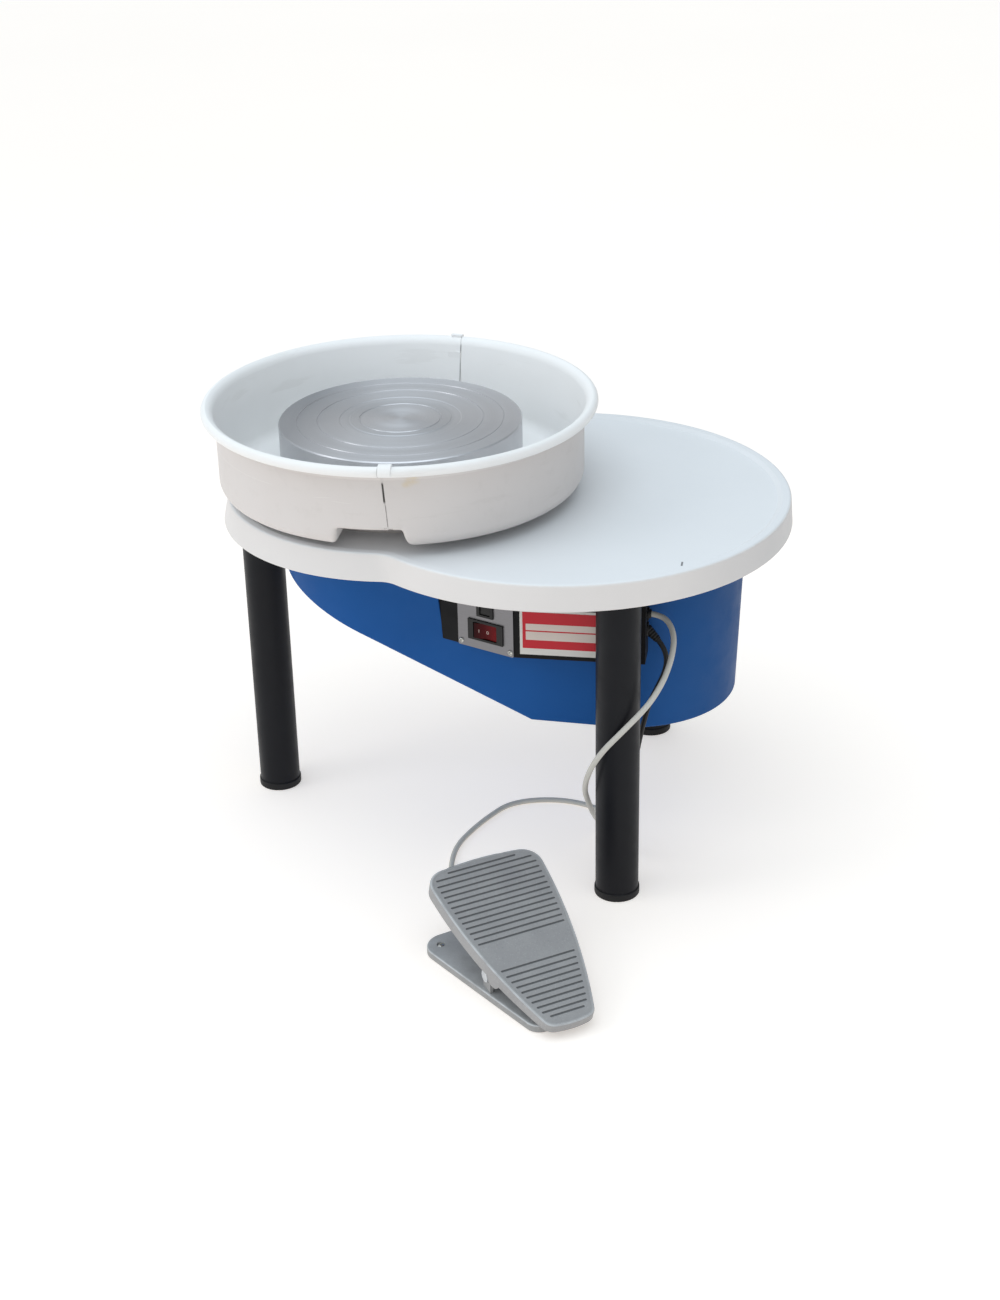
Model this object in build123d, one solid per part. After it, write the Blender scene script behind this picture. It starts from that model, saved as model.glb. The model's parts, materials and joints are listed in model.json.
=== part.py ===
from build123d import *
import math
import os

os.makedirs("parts", exist_ok=True)

# ---------------------------------------------------------------- driving dimensions (mm)
# Working frame: spindle axis is x = y = 0, floor is z = 0, +X towards the motor end.
SHIFT_X = -122.0            # moves the middle of the object's box to the origin
SHIFT_Y = 122.9

HEAD_R = 152.5              # wheel head, 305 mm across
HEAD_TOP = 536.6
HEAD_RIM = 42.0             # height of the turned side
PAN_R = 230.0               # splash pan wall, outside
PAN_T = 3.5
PAN_BOTTOM = 457.5
PAN_FLOOR_T = 4.0
PAN_LIP_R = 241.0           # middle of the rolled rim
PAN_LIP_Z = 559.5
PAN_LIP_T = 6.5
PAN_SPLIT = 31.0            # x of the joint between the halves, at the spindle
PAN_TURN = -1.5             # the pan stands turned by this much
TABLE_TOP = 447.7
TABLE_LOW = 414.5
TABLE_DECK = 444.2
TABLE_CX = 204.0
LEG_R = 26.8
LEGS = {"left": (-190.0, 0.0), "front": (298.0, -216.0), "rear": (300.0, 216.0)}
HOUSE_Z = 188.0             # flat underside of the motor housing
HOUSE_TOP = 432.0
HOUSE_XL, HOUSE_RL = -31.0, 117.0
HOUSE_XR, HOUSE_RR = 291.0, 136.0
HOUSE_DRAFT, HOUSE_DRAFT_R = 0.0435, 0.036
HOUSE_KINK = 180.0
HOUSE_SLOPE = 0.48
HOUSE_T = 1.6
BOX_Z0, BOX_Z1 = 296.0, 425.0
BOX_FRONT = -172.0
BOX_CORNER = 167.0
BOX_RIGHT = 326.0
BOX_ANGLE = 23.8
CHASSIS_Z = 432.0
SPINDLE_R = 15.0
MOTOR_X = 285.0
PULLEY_R, MOTOR_PULLEY_R = 92.0, 19.0
BELT_Z0, BELT_Z1 = 343.0, 355.0
PEDAL_X, PEDAL_Y, PEDAL_TOP = 141.494, -320.711, 101.618
PEDAL_YAW, PEDAL_TILT = 125.086, 18.3153
PEDAL_WALL = 17.0
PIVOT_U, PIVOT_Z = -132.0, 30.0
PEDAL_CORD_D = 7.0
POWER_CORD_D = 6.5


# ---------------------------------------------------------------- helpers
def put(name, *shapes):
    parts = []
    for s in shapes:
        parts += list(s.solids())
    moved = [Pos(SHIFT_X, SHIFT_Y, 0) * s for s in parts]
    for s in moved:
        if not s.is_valid or s.volume <= 0:
            print("CHECK", name, s.is_valid, s.volume)
    export_step(moved[0] if len(moved) == 1 else Compound(children=moved), f"parts/{name}.step")
    bb = Compound(children=[Pos(0, 0, 0) * s for s in moved]).bounding_box()
    print(f"{name:24s} n={len(moved)} vol={sum(s.volume for s in moved)/1000:9.1f} cm3  "
          f"x {bb.min.X:7.1f} {bb.max.X:7.1f}  y {bb.min.Y:7.1f} {bb.max.Y:7.1f}  z {bb.min.Z:6.1f} {bb.max.Z:6.1f}")


def cyl(r, z0, z1, x=0.0, y=0.0):
    return Pos(x, y, z0) * Cylinder(r, z1 - z0, align=(Align.CENTER, Align.CENTER, Align.MIN))


def tube(ro, ri, z0, z1, x=0.0, y=0.0):
    return cyl(ro, z0, z1, x, y) - cyl(ri, z0 - 1, z1 + 1, x, y)


def block(x0, x1, y0, y1, z0, z1):
    return Pos((x0 + x1) / 2, (y0 + y1) / 2, (z0 + z1) / 2) * Box(x1 - x0, y1 - y0, z1 - z0)


def rod(r0, r1, p, q):
    p, q = Vector(*p), Vector(*q)
    d = q - p
    pl = Plane(origin=p, z_dir=d)
    if abs(r0 - r1) < 1e-6:
        return pl * Cylinder(r0, d.length, align=(Align.CENTER, Align.CENTER, Align.MIN))
    return pl * Cone(r0, r1, d.length, align=(Align.CENTER, Align.CENTER, Align.MIN))


def blend_outline(rb, cb, rs, cs, f):
    """Two discs on the X axis joined by hollow arcs of radius f."""
    d = cb - cs
    x = ((rs + f) ** 2 - (rb + f) ** 2 + d * d) / (2 * d)
    y = math.sqrt((rs + f) ** 2 - x * x)
    cx = cs + x
    tb = (cb + (cx - cb) * rb / (rb + f), y * rb / (rb + f))
    ts = (cs + (cx - cs) * rs / (rs + f), y * rs / (rs + f))
    mx, my = (tb[0] + ts[0]) / 2 - cx, (tb[1] + ts[1]) / 2 - y
    m = math.hypot(mx, my)
    mid = (cx + mx / m * f, y + my / m * f)
    lo = lambda p: (p[0], -p[1])
    return make_face([
        ThreePointArc(lo(tb), (cb + rb, 0), tb),
        ThreePointArc(tb, mid, ts),
        ThreePointArc(ts, (cs - rs, 0), lo(ts)),
        ThreePointArc(lo(ts), lo(mid), lo(tb)),
    ])


def hull_outline(xl, rl, xr, rr):
    """Two discs on the X axis joined by their outer tangents."""
    nx = (rl - rr) / (xr - xl)
    ny = math.sqrt(1 - nx * nx)
    a, b = (xl + rl * nx, rl * ny), (xr + rr * nx, rr * ny)
    lo = lambda p: (p[0], -p[1])
    return make_face([
        ThreePointArc(lo(b), (xr + rr, 0), b),
        Line(b, a),
        ThreePointArc(a, (xl - rl, 0), lo(a)),
        Line(lo(a), lo(b)),
    ])


def circle_through(p, q, r):
    ax, ay, bx, by, cx, cy = *p, *q, *r
    d = 2 * (ax * (by - cy) + bx * (cy - ay) + cx * (ay - by))
    ux = ((ax * ax + ay * ay) * (by - cy) + (bx * bx + by * by) * (cy - ay) + (cx * cx + cy * cy) * (ay - by)) / d
    uy = ((ax * ax + ay * ay) * (cx - bx) + (bx * bx + by * by) * (ax - cx) + (cx * cx + cy * cy) * (bx - ax)) / d
    return ux, uy, math.hypot(ax - ux, ay - uy)


def circles_meet(c, k, near):
    d = math.hypot(k[0] - c[0], k[1] - c[1])
    a = (c[2] ** 2 - k[2] ** 2 + d * d) / (2 * d)
    h = math.sqrt(c[2] ** 2 - a * a)
    ex, ey = (k[0] - c[0]) / d, (k[1] - c[1]) / d
    hits = [(c[0] + a * ex - s * h * ey, c[1] + a * ey + s * h * ex) for s in (-1, 1)]
    return min(hits, key=lambda p: math.hypot(p[0] - near[0], p[1] - near[1]))


def prism(face, z0, z1):
    return extrude(Pos(0, 0, z0) * face, amount=z1 - z0, dir=(0, 0, 1))


# ---------------------------------------------------------------- table top
def table_face(off, top):
    if top:
        return blend_outline(285.0 - off, TABLE_CX, 219.0 - off, -2.0, 42.0 + off)
    return blend_outline(287.5 - off, TABLE_CX, 227.5 - off, -1.0, 30.0 + off)


table = loft([Pos(0, 0, TABLE_LOW) * table_face(0, False), Pos(0, 0, TABLE_TOP) * table_face(0, True)], ruled=True)
top_edges = [e for e in table.edges() if abs(e.center().Z - TABLE_TOP) < 0.01]
table = fillet(top_edges, 3.2)
low_edges = [e for e in table.edges() if abs(e.center().Z - TABLE_LOW) < 0.01]
table = fillet(low_edges, 1.5)
table -= loft([Pos(0, 0, TABLE_LOW - 1) * table_face(4.0, False), Pos(0, 0, 440.0) * table_face(4.5, True)], ruled=True)
table -= loft([Pos(0, 0, TABLE_DECK) * table_face(17.0, True), Pos(0, 0, TABLE_TOP + 0.5) * table_face(10.0, True)], ruled=True)
TABLE_SCREWS = [(-120, 150), (-120, -150), (130, 225), (130, -225), (400, 130), (400, -130)]
table += tube(30.0, 26.0, 436.0, 470.0)
for x, y in TABLE_SCREWS:
    table += cyl(7.0, 435.0, 441.0, x, y)
table -= cyl(26.0, 430.0, 480.0)
for x, y in TABLE_SCREWS:
    table -= cyl(2.05, 430.0, 441.5, x, y)

# ---------------------------------------------------------------- chassis, sockets, legs
chassis = prism(table_face(13.0, False), CHASSIS_Z, CHASSIS_Z + 3.0)
chassis -= cyl(18.0, 420.0, 440.0)
for x, y in TABLE_SCREWS:
    chassis -= cyl(2.05, 430.0, 440.0, x, y)

table_screws = [cyl(4.5, 429.0, 432.0, x, y) + cyl(2.0, 431.0, 441.0, x, y) for x, y in TABLE_SCREWS]
sockets, legs, feet, leg_screws = [], {}, [], []
for name, (x, y) in LEGS.items():
    s = cyl(28.0, 428.0, 432.0, x, y) + tube(24.7, 20.0, 384.0, 429.0, x, y)
    leg = tube(LEG_R, LEG_R - 2.0, 4.0, 427.9, x, y)
    hole = rod(3.05, 3.05, (x, y + 15.0, 404.0), (x, y + 40.0, 404.0))
    sockets.append(s - hole)
    legs[name] = leg - hole
    foot = cyl(28.2, 0.0, 10.0, x, y)
    foot = fillet(foot.edges().filter_by(GeomType.CIRCLE), 1.3) - cyl(LEG_R + 0.02, 4.0, 31.0, x, y)
    feet.append(foot)
    leg_screws.append(rod(3.0, 3.0, (x, y + 19.0, 404.0), (x, y + 28.0, 404.0)) +
                      rod(5.5, 5.5, (x, y + 27.2, 404.0), (x, y + 31.5, 404.0)))


# ---------------------------------------------------------------- belt and motor housing
def housing_body(off, top):
    """Drafted wall with the flat and the sloped underside; off moves every face inwards."""
    rl = lambda z: HOUSE_RL + HOUSE_DRAFT * (z - HOUSE_Z) - off
    rr = lambda z: HOUSE_RR + HOUSE_DRAFT_R * (z - HOUSE_Z) - off
    z0 = HOUSE_Z + off
    s = loft([
        Pos(0, 0, z0) * hull_outline(HOUSE_XL, rl(z0), HOUSE_XR, rr(z0)),
        Pos(0, 0, top) * hull_outline(HOUSE_XL, rl(top), HOUSE_XR, rr(top)),
    ], ruled=True)
    lift = off / math.cos(math.atan(HOUSE_SLOPE))
    zk = HOUSE_Z + lift
    pts = [(HOUSE_KINK + 60, zk - HOUSE_SLOPE * 60), (-420, zk + HOUSE_SLOPE * (HOUSE_KINK + 420)),
           (-420, 40), (HOUSE_KINK + 60, 40)]
    wedge = extrude(Plane.XZ * make_face(Polyline(*pts, close=True)), amount=400, both=True)
    return s - wedge


house_out = housing_body(0.0, HOUSE_TOP)
low = [e for e in house_out.edges()
       if e.center().Z < HOUSE_TOP - 5 and abs((e @ 0).Z - HOUSE_TOP) > 1 and abs((e @ 1).Z - HOUSE_TOP) > 1
       and not (abs((e @ 0).X - (e @ 1).X) < 0.5 and abs((e @ 0).Y - (e @ 1).Y) > 100)]
try:
    house_solid = fillet(low, 3.0)
except Exception as err:
    print("housing edge left sharp", err)
    house_solid = house_out
house_in = housing_body(HOUSE_T, HOUSE_TOP + 1.0)
rl_top = HOUSE_RL + HOUSE_DRAFT * (HOUSE_TOP - HOUSE_Z)
rr_top = HOUSE_RR + HOUSE_DRAFT_R * (HOUSE_TOP - HOUSE_Z)
house = house_solid - house_in
flange = prism(hull_outline(HOUSE_XL, rl_top + 10, HOUSE_XR, rr_top + 10), HOUSE_TOP - 1.8, HOUSE_TOP)
flange -= prism(hull_outline(HOUSE_XL, rl_top - 0.8, HOUSE_XR, rr_top - 0.8), HOUSE_TOP - 3, HOUSE_TOP + 1)
house += flange
house -= cyl(30.0, 420.0, 440.0, -190.0, 0.0)
HOUSE_SCREWS = [(HOUSE_XL, rl_top + 5), (HOUSE_XL, -rl_top - 5), (HOUSE_XR, rr_top + 5), (HOUSE_XR, -rr_top - 5),
                (HOUSE_XR + rr_top + 5, 0.0), (125.0, 141.2), (125.0, -141.2)]
housing_screws = []
for x, y in HOUSE_SCREWS:
    housing_screws.append(cyl(4.0, 427.4, HOUSE_TOP - 1.8, x, y) + cyl(2.0, 430.0, 435.0, x, y))
    chassis -= cyl(2.05, 430.0, 440.0, x, y)
    house -= cyl(2.05, 430.0, 433.0, x, y)

# ---------------------------------------------------------------- spindle, bearings, wheel head
bearing_housing = cyl(60.0, 426.0, 432.0) + cyl(34.0, 366.0, 427.0)
bearing_housing -= cyl(22.0, 360.0, 440.0)
bearing_housing -= cyl(26.02, 416.0, 440.0)
bearing_housing -= cyl(26.02, 360.0, 385.0)
BEARING_BOLTS = [(48 * math.cos(math.radians(a)), 48 * math.sin(math.radians(a))) for a in (45, 135, 225, 315)]
bearing_bolts = []
for x, y in BEARING_BOLTS:
    bearing_bolts.append(cyl(5.0, 421.0, 426.0, x, y) + cyl(3.0, 425.0, 436.0, x, y))
    bearing_housing -= cyl(3.05, 425.0, 433.0, x, y)
    chassis -= cyl(3.05, 430.0, 440.0, x, y)
upper_bearing = tube(26.0, SPINDLE_R + 0.05, 416.0, 431.0)
lower_bearing = tube(26.0, SPINDLE_R + 0.05, 370.0, 385.0)

spindle = cyl(SPINDLE_R, 332.0, 515.0) + cyl(17.0, 431.4, 437.0) + cyl(20.0, 478.0, 484.0)
spindle = chamfer([e for e in spindle.edges() if abs(e.center().Z - 515.0) < 0.01], 1.0)

t, b = HEAD_TOP, HEAD_TOP - HEAD_RIM
head_profile = [
    (0, t), (49.8, t), (50.4, t - 0.6), (51.6, t - 0.6), (52.2, t), (63.0, t), (64.2, t - 0.5), (75.8, t - 0.5), (77.0, t),
    (103.3, t), (103.7, t - 0.7), (104.4, t - 0.7), (104.8, t), (128.9, t), (129.3, t - 0.7), (130.0, t - 0.7), (130.4, t),
    (HEAD_R - 1.4, t), (HEAD_R, t - 1.4), (HEAD_R, b + 1.5), (HEAD_R - 1.5, b), (HEAD_R - 10, b), (HEAD_R - 11, t - 13),
    (44, t - 14), (42, t - 17), (42, 484.0), (15.02, 484.0), (15.02, 515.2), (0, 515.2),
]
head = revolve(Plane.XZ * make_face(Polyline(*head_profile, close=True)), Axis.Z)
head_set_screws = []
for a in (20, 200):
    c, s = math.cos(math.radians(a)), math.sin(math.radians(a))
    head_set_screws.append(rod(3.0, 3.0, (c * 15.6, s * 15.6, 492.0), (c * 38, s * 38, 492.0)))
    head -= rod(3.03, 3.03, (c * 14, s * 14, 492.0), (c * 44, s * 44, 492.0))

# ---------------------------------------------------------------- belt drive
driven_pulley = cyl(PULLEY_R, 341.0, 357.0) - tube(PULLEY_R - 10, 34.0, 350.0, 360.0) + cyl(30.0, 333.0, 357.0)
driven_pulley -= cyl(SPINDLE_R + 0.02, 330.0, 360.0)
for a in range(0, 360, 60):
    driven_pulley -= cyl(13.0, 330.0, 360.0, 58 * math.cos(math.radians(a)), 58 * math.sin(math.radians(a)))
pulley_set_screws = []
for a in (30, 150):
    c, s = math.cos(math.radians(a)), math.sin(math.radians(a))
    pulley_set_screws.append(rod(2.5, 2.5, (c * 15.6, s * 15.6, 337.0), (c * 29, s * 29, 337.0)))
    driven_pulley -= rod(2.53, 2.53, (c * 14, s * 14, 337.0), (c * 32, s * 32, 337.0))
motor_pulley = cyl(MOTOR_PULLEY_R, 339.0, 359.0, MOTOR_X) + cyl(23.0, 338.0, 341.0, MOTOR_X) + cyl(23.0, 357.0, 360.0, MOTOR_X)
motor_pulley -= cyl(6.02, 330.0, 370.0, MOTOR_X)
belt = prism(hull_outline(0.0, PULLEY_R + 3.3, MOTOR_X, MOTOR_PULLEY_R + 3.3), BELT_Z0, BELT_Z1)
belt -= prism(hull_outline(0.0, PULLEY_R + 0.3, MOTOR_X, MOTOR_PULLEY_R + 0.3), BELT_Z0 - 1, BELT_Z1 + 1)
motor = cyl(58.0, 200.0, 325.0, MOTOR_X)
motor = chamfer(motor.edges().filter_by(GeomType.CIRCLE), 4.0)
motor += cyl(22.0, 324.0, 330.0, MOTOR_X)
for a in range(0, 360, 30):
    c, s = math.cos(math.radians(a)), math.sin(math.radians(a))
    motor -= Pos(MOTOR_X + 58 * c, 58 * s, 262) * Rot(0, 0, a) * Box(5, 6, 90)
motor -= cyl(6.05, 296.0, 335.0, MOTOR_X)
motor_shaft = cyl(6.0, 297.0, 362.0, MOTOR_X)
bracket = block(225, 345, -72, 72, 325, 329) - cyl(22.1, 320, 340, MOTOR_X)
for s in (-1, 1):
    bracket += block(225, 345, min(s * 68, s * 72), max(s * 68, s * 72), 325, 432)
    bracket += block(225, 345, min(s * 68, s * 92), max(s * 68, s * 92), 428, 432)
motor_bolts, bracket_bolts = [], []
for a in (45, 135, 225, 315):
    x, y = MOTOR_X + 40 * math.cos(math.radians(a)), 40 * math.sin(math.radians(a))
    motor_bolts.append(cyl(5.0, 329.0, 333.0, x, y) + cyl(3.0, 314.0, 330.0, x, y))
    bracket -= cyl(3.05, 320, 335, x, y)
    motor -= cyl(3.05, 313.5, 335, x, y)
for x in (242, 328):
    for y in (-82, 82):
        bracket_bolts.append(cyl(5.0, 424.0, 428.0, x, y) + cyl(3.0, 427.0, 436.5, x, y))
        bracket -= cyl(3.05, 420, 440, x, y)
        chassis -= cyl(3.05, 420, 440, x, y)

# ---------------------------------------------------------------- splash pan
pt, pb, pf = PAN_T, PAN_BOTTOM, PAN_BOTTOM + PAN_FLOOR_T
ro, ri = PAN_R, PAN_R - PAN_T
rc_o, rc_i = 16.0, 12.5
lip = PAN_LIP_R
q = math.sqrt(0.5)
# the inside of the wall curves smoothly into the rolled rim
rim_c = circle_through((lip, PAN_LIP_Z + PAN_LIP_T), (lip - 5.2, PAN_LIP_Z + 3.9), (lip - 9.5, PAN_LIP_Z - 3.5))
flare = math.atan2(-(PAN_LIP_Z - 3.5 - rim_c[1]), rim_c[0] - (lip - 9.5))
flare = abs(flare)
flare_r = (lip - 9.5 - ri) / (1 - math.cos(flare))
flare_z = PAN_LIP_Z - 3.5 - flare_r * math.sin(flare)
outer = [
    Line((32.0, pb), (ro - rc_o, pb)),
    ThreePointArc((ro - rc_o, pb), (ro - rc_o + rc_o * q, pb + rc_o - rc_o * q), (ro, pb + rc_o)),
    Line((ro, pb + rc_o), (ro, 545.0)),
    Line((ro, 545.0), (lip - 3.0, PAN_LIP_Z - 4.0)),
    Line((lip - 3.0, PAN_LIP_Z - 4.0), (lip, PAN_LIP_Z - PAN_LIP_T)),
    ThreePointArc((lip, PAN_LIP_Z - PAN_LIP_T), (lip + PAN_LIP_T, PAN_LIP_Z), (lip, PAN_LIP_Z + PAN_LIP_T)),
    ThreePointArc((lip, PAN_LIP_Z + PAN_LIP_T), (lip - 5.2, PAN_LIP_Z + 3.9), (lip - 9.5, PAN_LIP_Z - 3.5)),
    ThreePointArc((lip - 9.5, PAN_LIP_Z - 3.5),
                  (ri + flare_r * (1 - math.cos(flare / 2)), flare_z + flare_r * math.sin(flare / 2)), (ri, flare_z)),
    Line((ri, flare_z), (ri, pf + rc_i)),
    ThreePointArc((ri, pf + rc_i), (ri - rc_i + rc_i * q, pf + rc_i - rc_i * q), (ri - rc_i, pf)),
    Line((ri - rc_i, pf), (32.0, pf)),
    Line((32.0, pf), (32.0, pb)),
]
pan = revolve(Plane.XZ * make_face(outer), Axis.Z)
pan += tube(150.0, 146.0, TABLE_DECK + 0.3, pb + 1.0)
# hollow under the front of the wall, with its own roof and back
whole = revolve(Plane.XZ * make_face([
    Line((0, pb), (ro - rc_o, pb)),
    ThreePointArc((ro - rc_o, pb), (ro - rc_o + rc_o * q, pb + rc_o - rc_o * q), (ro, pb + rc_o)),
    Line((ro, pb + rc_o), (ro, 520.0)), Line((ro, 520.0), (0, 520.0)), Line((0, 520.0), (0, pb)),
]), Axis.Z)
alcove = block(-51, 60, -236, -161, pb, 485.5) & whole
pan += alcove
notch = make_face(Polyline((-38.0, pb - 4), (-37.0, pb), (-33.0, 481.0), (44.0, 481.0), (48.0, 468.0), (49.6, 464.6), (52.4, 461.8),
                           (56.0, 460.4), (57.5, pb - 4), close=True))
notch = fillet([v for v in notch.vertices() if v.Y > 470], 4.0)
pan -= Pos(0, -165.0, 0) * extrude(Plane.XZ * notch, amount=95)
cheek = [e for e in pan.edges() if -40 < e.center().X < -31 and e.center().Y < -215 and 460 < e.center().Z < 480]
try:
    pan = fillet(cheek, 5.0)
except Exception as err:
    print("notch edge left sharp", len(cheek), err)
split = Rot(0, 0, PAN_TURN)
left_side = split * block(-400, PAN_SPLIT - 0.25, -400, 400, 400, 700)
right_side = split * block(PAN_SPLIT + 0.25, 400, -400, 400, 400, 700)
# on the front wall the joint leans over towards the right half
LEAN = 0.065
lean_x = lambda z: PAN_SPLIT + LEAN * (549.0 - z)


def front_piece(*pts):
    return split * (Pos(0, -221.0, 0) * extrude(Plane.XZ * make_face(Polyline(*pts, close=True)), amount=20))


lean_left = front_piece((PAN_SPLIT - 1.0, 549.0), (PAN_SPLIT - 1.0, 485.5), (lean_x(485.5) - 0.25, 485.5), (PAN_SPLIT - 0.25, 549.0))
lean_right = front_piece((PAN_SPLIT - 1.0, 549.5), (PAN_SPLIT - 1.0, 485.0), (lean_x(485.0) + 0.25, 485.0), (PAN_SPLIT + 0.25, 549.5))
pan_left = pan & (left_side + lean_left)
pan_right = (pan & right_side) - lean_right
# the left half reaches round the spindle guard with an open slot and a low rib
slot = cyl(32.0, 440, 490) + split * block(0, 60, -32, 32, 440, 490)
rib = (cyl(35.5, pb, 469.5) + split * block(0, PAN_SPLIT - 0.25, -35.5, 35.5, pb, 469.5)) & left_side
pan_left = (pan_left + rib) - slot
pan_right = pan_right + split * block(PAN_SPLIT + 0.25, PAN_SPLIT + 3.5, -35.5, 35.5, pb, 469.5)
# joint strip on the wall and sleeve over the rim: at the front part of the right half, at the back of the left one
halves = {-1: pan_right, 1: pan_left}
for s in (-1, 1):
    y0, y1 = (-260, -200) if s < 0 else (200, 260)
    span = lambda a, b, z: split * block(*sorted((PAN_SPLIT - s * a, PAN_SPLIT - s * b)), y0, y1, z, 700)
    seam_x = PAN_SPLIT + s * PAN_R * math.sin(math.radians(-PAN_TURN))
    nx, ny = seam_x / PAN_R, s * math.sqrt(1 - (seam_x / PAN_R) ** 2)
    tx, ty = -s * abs(ny), nx
    dx, dy = 0.9 * nx - 16.6 * tx, 0.9 * ny - 16.6 * ty
    strip = cyl(PAN_R, 486.0, 548.0, dx, dy) - cyl(PAN_R - 1.0, 480.0, 560.0)
    strip &= span(0.25, 17.0, 400)
    if s < 0:
        strip -= lean_right
    ring_o = revolve(Plane.XZ * Pos(lip, PAN_LIP_Z) * Circle(PAN_LIP_T + 2.9), Axis.Z)
    ring_i = revolve(Plane.XZ * Pos(lip, PAN_LIP_Z) * Circle(PAN_LIP_T + 1.3), Axis.Z)
    upper = tube(270, lip - 3.0, PAN_LIP_Z - 3.0, 600)
    over = ((ring_o - ring_i) & upper) & span(-1.0, 14.0, 500)
    root = (ring_o & upper) & span(0.25, 14.0, 500)
    halves[s] = halves[s] + strip + root + over
pan_left, pan_right = halves[1], halves[-1]
# the halves stand a little apart high on the front wall
pan_left -= front_piece((lean_x(545.0) - 0.9, 545.0), (lean_x(545.0) + 0.1, 545.0), (lean_x(513.0) + 0.1, 513.0),
                        (lean_x(513.0) - 0.4, 513.0), (lean_x(520.0) - 1.6, 520.0), (lean_x(538.0) - 2.2, 538.0))
pan_right -= front_piece((35.2, 480.0), (41.0, 480.0), (40.6, 484.4), (35.2, 484.4))

# ---------------------------------------------------------------- control box and switches
ca, sa = math.cos(math.radians(BOX_ANGLE)), math.sin(math.radians(BOX_ANGLE))
PL = Plane(origin=(BOX_CORNER, BOX_FRONT, 0), x_dir=(ca, -sa, 0), z_dir=(-sa, -ca, 0))
left_len = 116.0
corner = (BOX_CORNER, BOX_FRONT)
far = (BOX_CORNER - left_len * ca, BOX_FRONT + left_len * sa)
box_face = make_face(Polyline((BOX_RIGHT, BOX_FRONT), (BOX_RIGHT, -105.0), (far[0], -105.0), far, corner, close=True))
box_in_face = offset(box_face, -2.5)
wall_out = housing_body(0.0, HOUSE_TOP)
wall_back = housing_body(-2.5, HOUSE_TOP)
box = prism(box_face, BOX_Z0, BOX_Z1)
box = fillet([e for e in box.edges() if abs(e.center().Z - BOX_Z0) < 0.01 and e.center().Y < -125], 1.5)
# the left end passes into the housing wall along a nearly upright line
slot_in = PL * extrude(Pos(0, 0, -4.0) * make_face(Polyline((-105.9, BOX_Z0), (-115.8, BOX_Z1), (-60, BOX_Z1), (-60, BOX_Z0), close=True)), amount=19, dir=(0, 0, 1))
box -= PL * extrude(Pos(0, 0, -80.0) * make_face(Polyline((-140, 290), (-105.44, 290), (-115.88, 426), (-140, 426), close=True)), amount=85, dir=(0, 0, 1))
box -= wall_out - slot_in
house -= slot_in
box -= prism(box_in_face, BOX_Z0 + 2.5, BOX_Z1 - 2.5) - wall_back


def on_plate(x0, x1, z0, z1, d0, d1):
    return PL * block(x0, x1, z0, z1, d0, d1)


plate = on_plate(-81.5, -1.0, 296.4, 402.0, 0.0, 1.5)
SW_X, SW_Z = -41.0, 322.0
plate = fillet(plate.edges().filter_by(Axis((0, 0, 0), (-sa, -ca, 0))), 2.0)
DS_X, DS_Z = -41.0, 356.8
power_body = on_plate(-65.7, -15.4, 308.5, 335.5, 1.5, 3.6) + on_plate(-61.0, -21.0, 310.7, 333.3, -12.4, 1.6)
power_body -= on_plate(SW_X - 17.0, SW_X + 17.0, SW_Z - 10.6, SW_Z + 10.6, -10.4, 5.0)
dir_body = on_plate(-52.8, -29.2, 341.4, 372.2, 1.5, 3.4) + on_plate(-50.0, -32.0, 343.0, 370.6, -12.4, 1.6)
dir_body -= on_plate(DS_X - 7.4, DS_X + 7.4, DS_Z - 12.6, DS_Z + 12.6, -10.4, 5.0)
rocker_cut = [(-15.2, -6.0), (15.2, -6.0), (15.2, 5.2), (0.0, 3.0), (-15.2, 5.2)]
rk = extrude(make_face(Polyline(*rocker_cut, close=True)), amount=10.1, both=True)
ROCK = 7.0
power_rocker = PL * Pos(SW_X, SW_Z, -1.5) * Rot(0, ROCK, 0) * (Rot(90, 0, 0) * rk)
dk_cut = [(-11.4, -6.0), (11.4, -6.0), (11.4, 4.8), (0.0, 3.0), (-11.4, 4.8)]
dk = extrude(make_face(Polyline(*dk_cut, close=True)), amount=7.0, both=True)
direction_rocker = PL * Pos(DS_X, DS_Z, -1.5) * Rot(ROCK, 0, 0) * (Rot(0, 0, 90) * (Rot(90, 0, 0) * dk))
plate -= on_plate(-61.2, -20.8, 310.5, 333.5, -3, 3)
plate -= on_plate(-50.2, -31.8, 342.8, 370.8, -3, 3)
box -= on_plate(-61.2, -20.8, 310.5, 333.5, -4, 1)
box -= on_plate(-50.2, -31.8, 342.8, 370.8, -4, 1)
plate_screws = []
for x in (-76.9, -5.6):
    for z in (302.2, 396.0):
        plate_screws.append(PL * Pos(x, z, 0) * (cyl(3.2, 1.5, 3.1) + cyl(1.5, -4.0, 2.0)))
        plate -= PL * Pos(x, z, 0) * cyl(1.55, -5, 3)
        box -= PL * Pos(x, z, 0) * cyl(1.55, -5, 3)
nameplate = block(173.6, 278.4, BOX_FRONT - 1.0, BOX_FRONT, 302.5, 363.0)
board = block(188, 312, -164.6, -163.0, 306, 398) + block(200, 236, -163.5, -150, 330, 372) + block(250, 300, -163.5, -152, 318, 380)
for x in (193, 307):
    for z in (311, 393):
        board += rod(3.0, 3.0, (x, -169.5, z), (x, -164.0, z))

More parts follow.
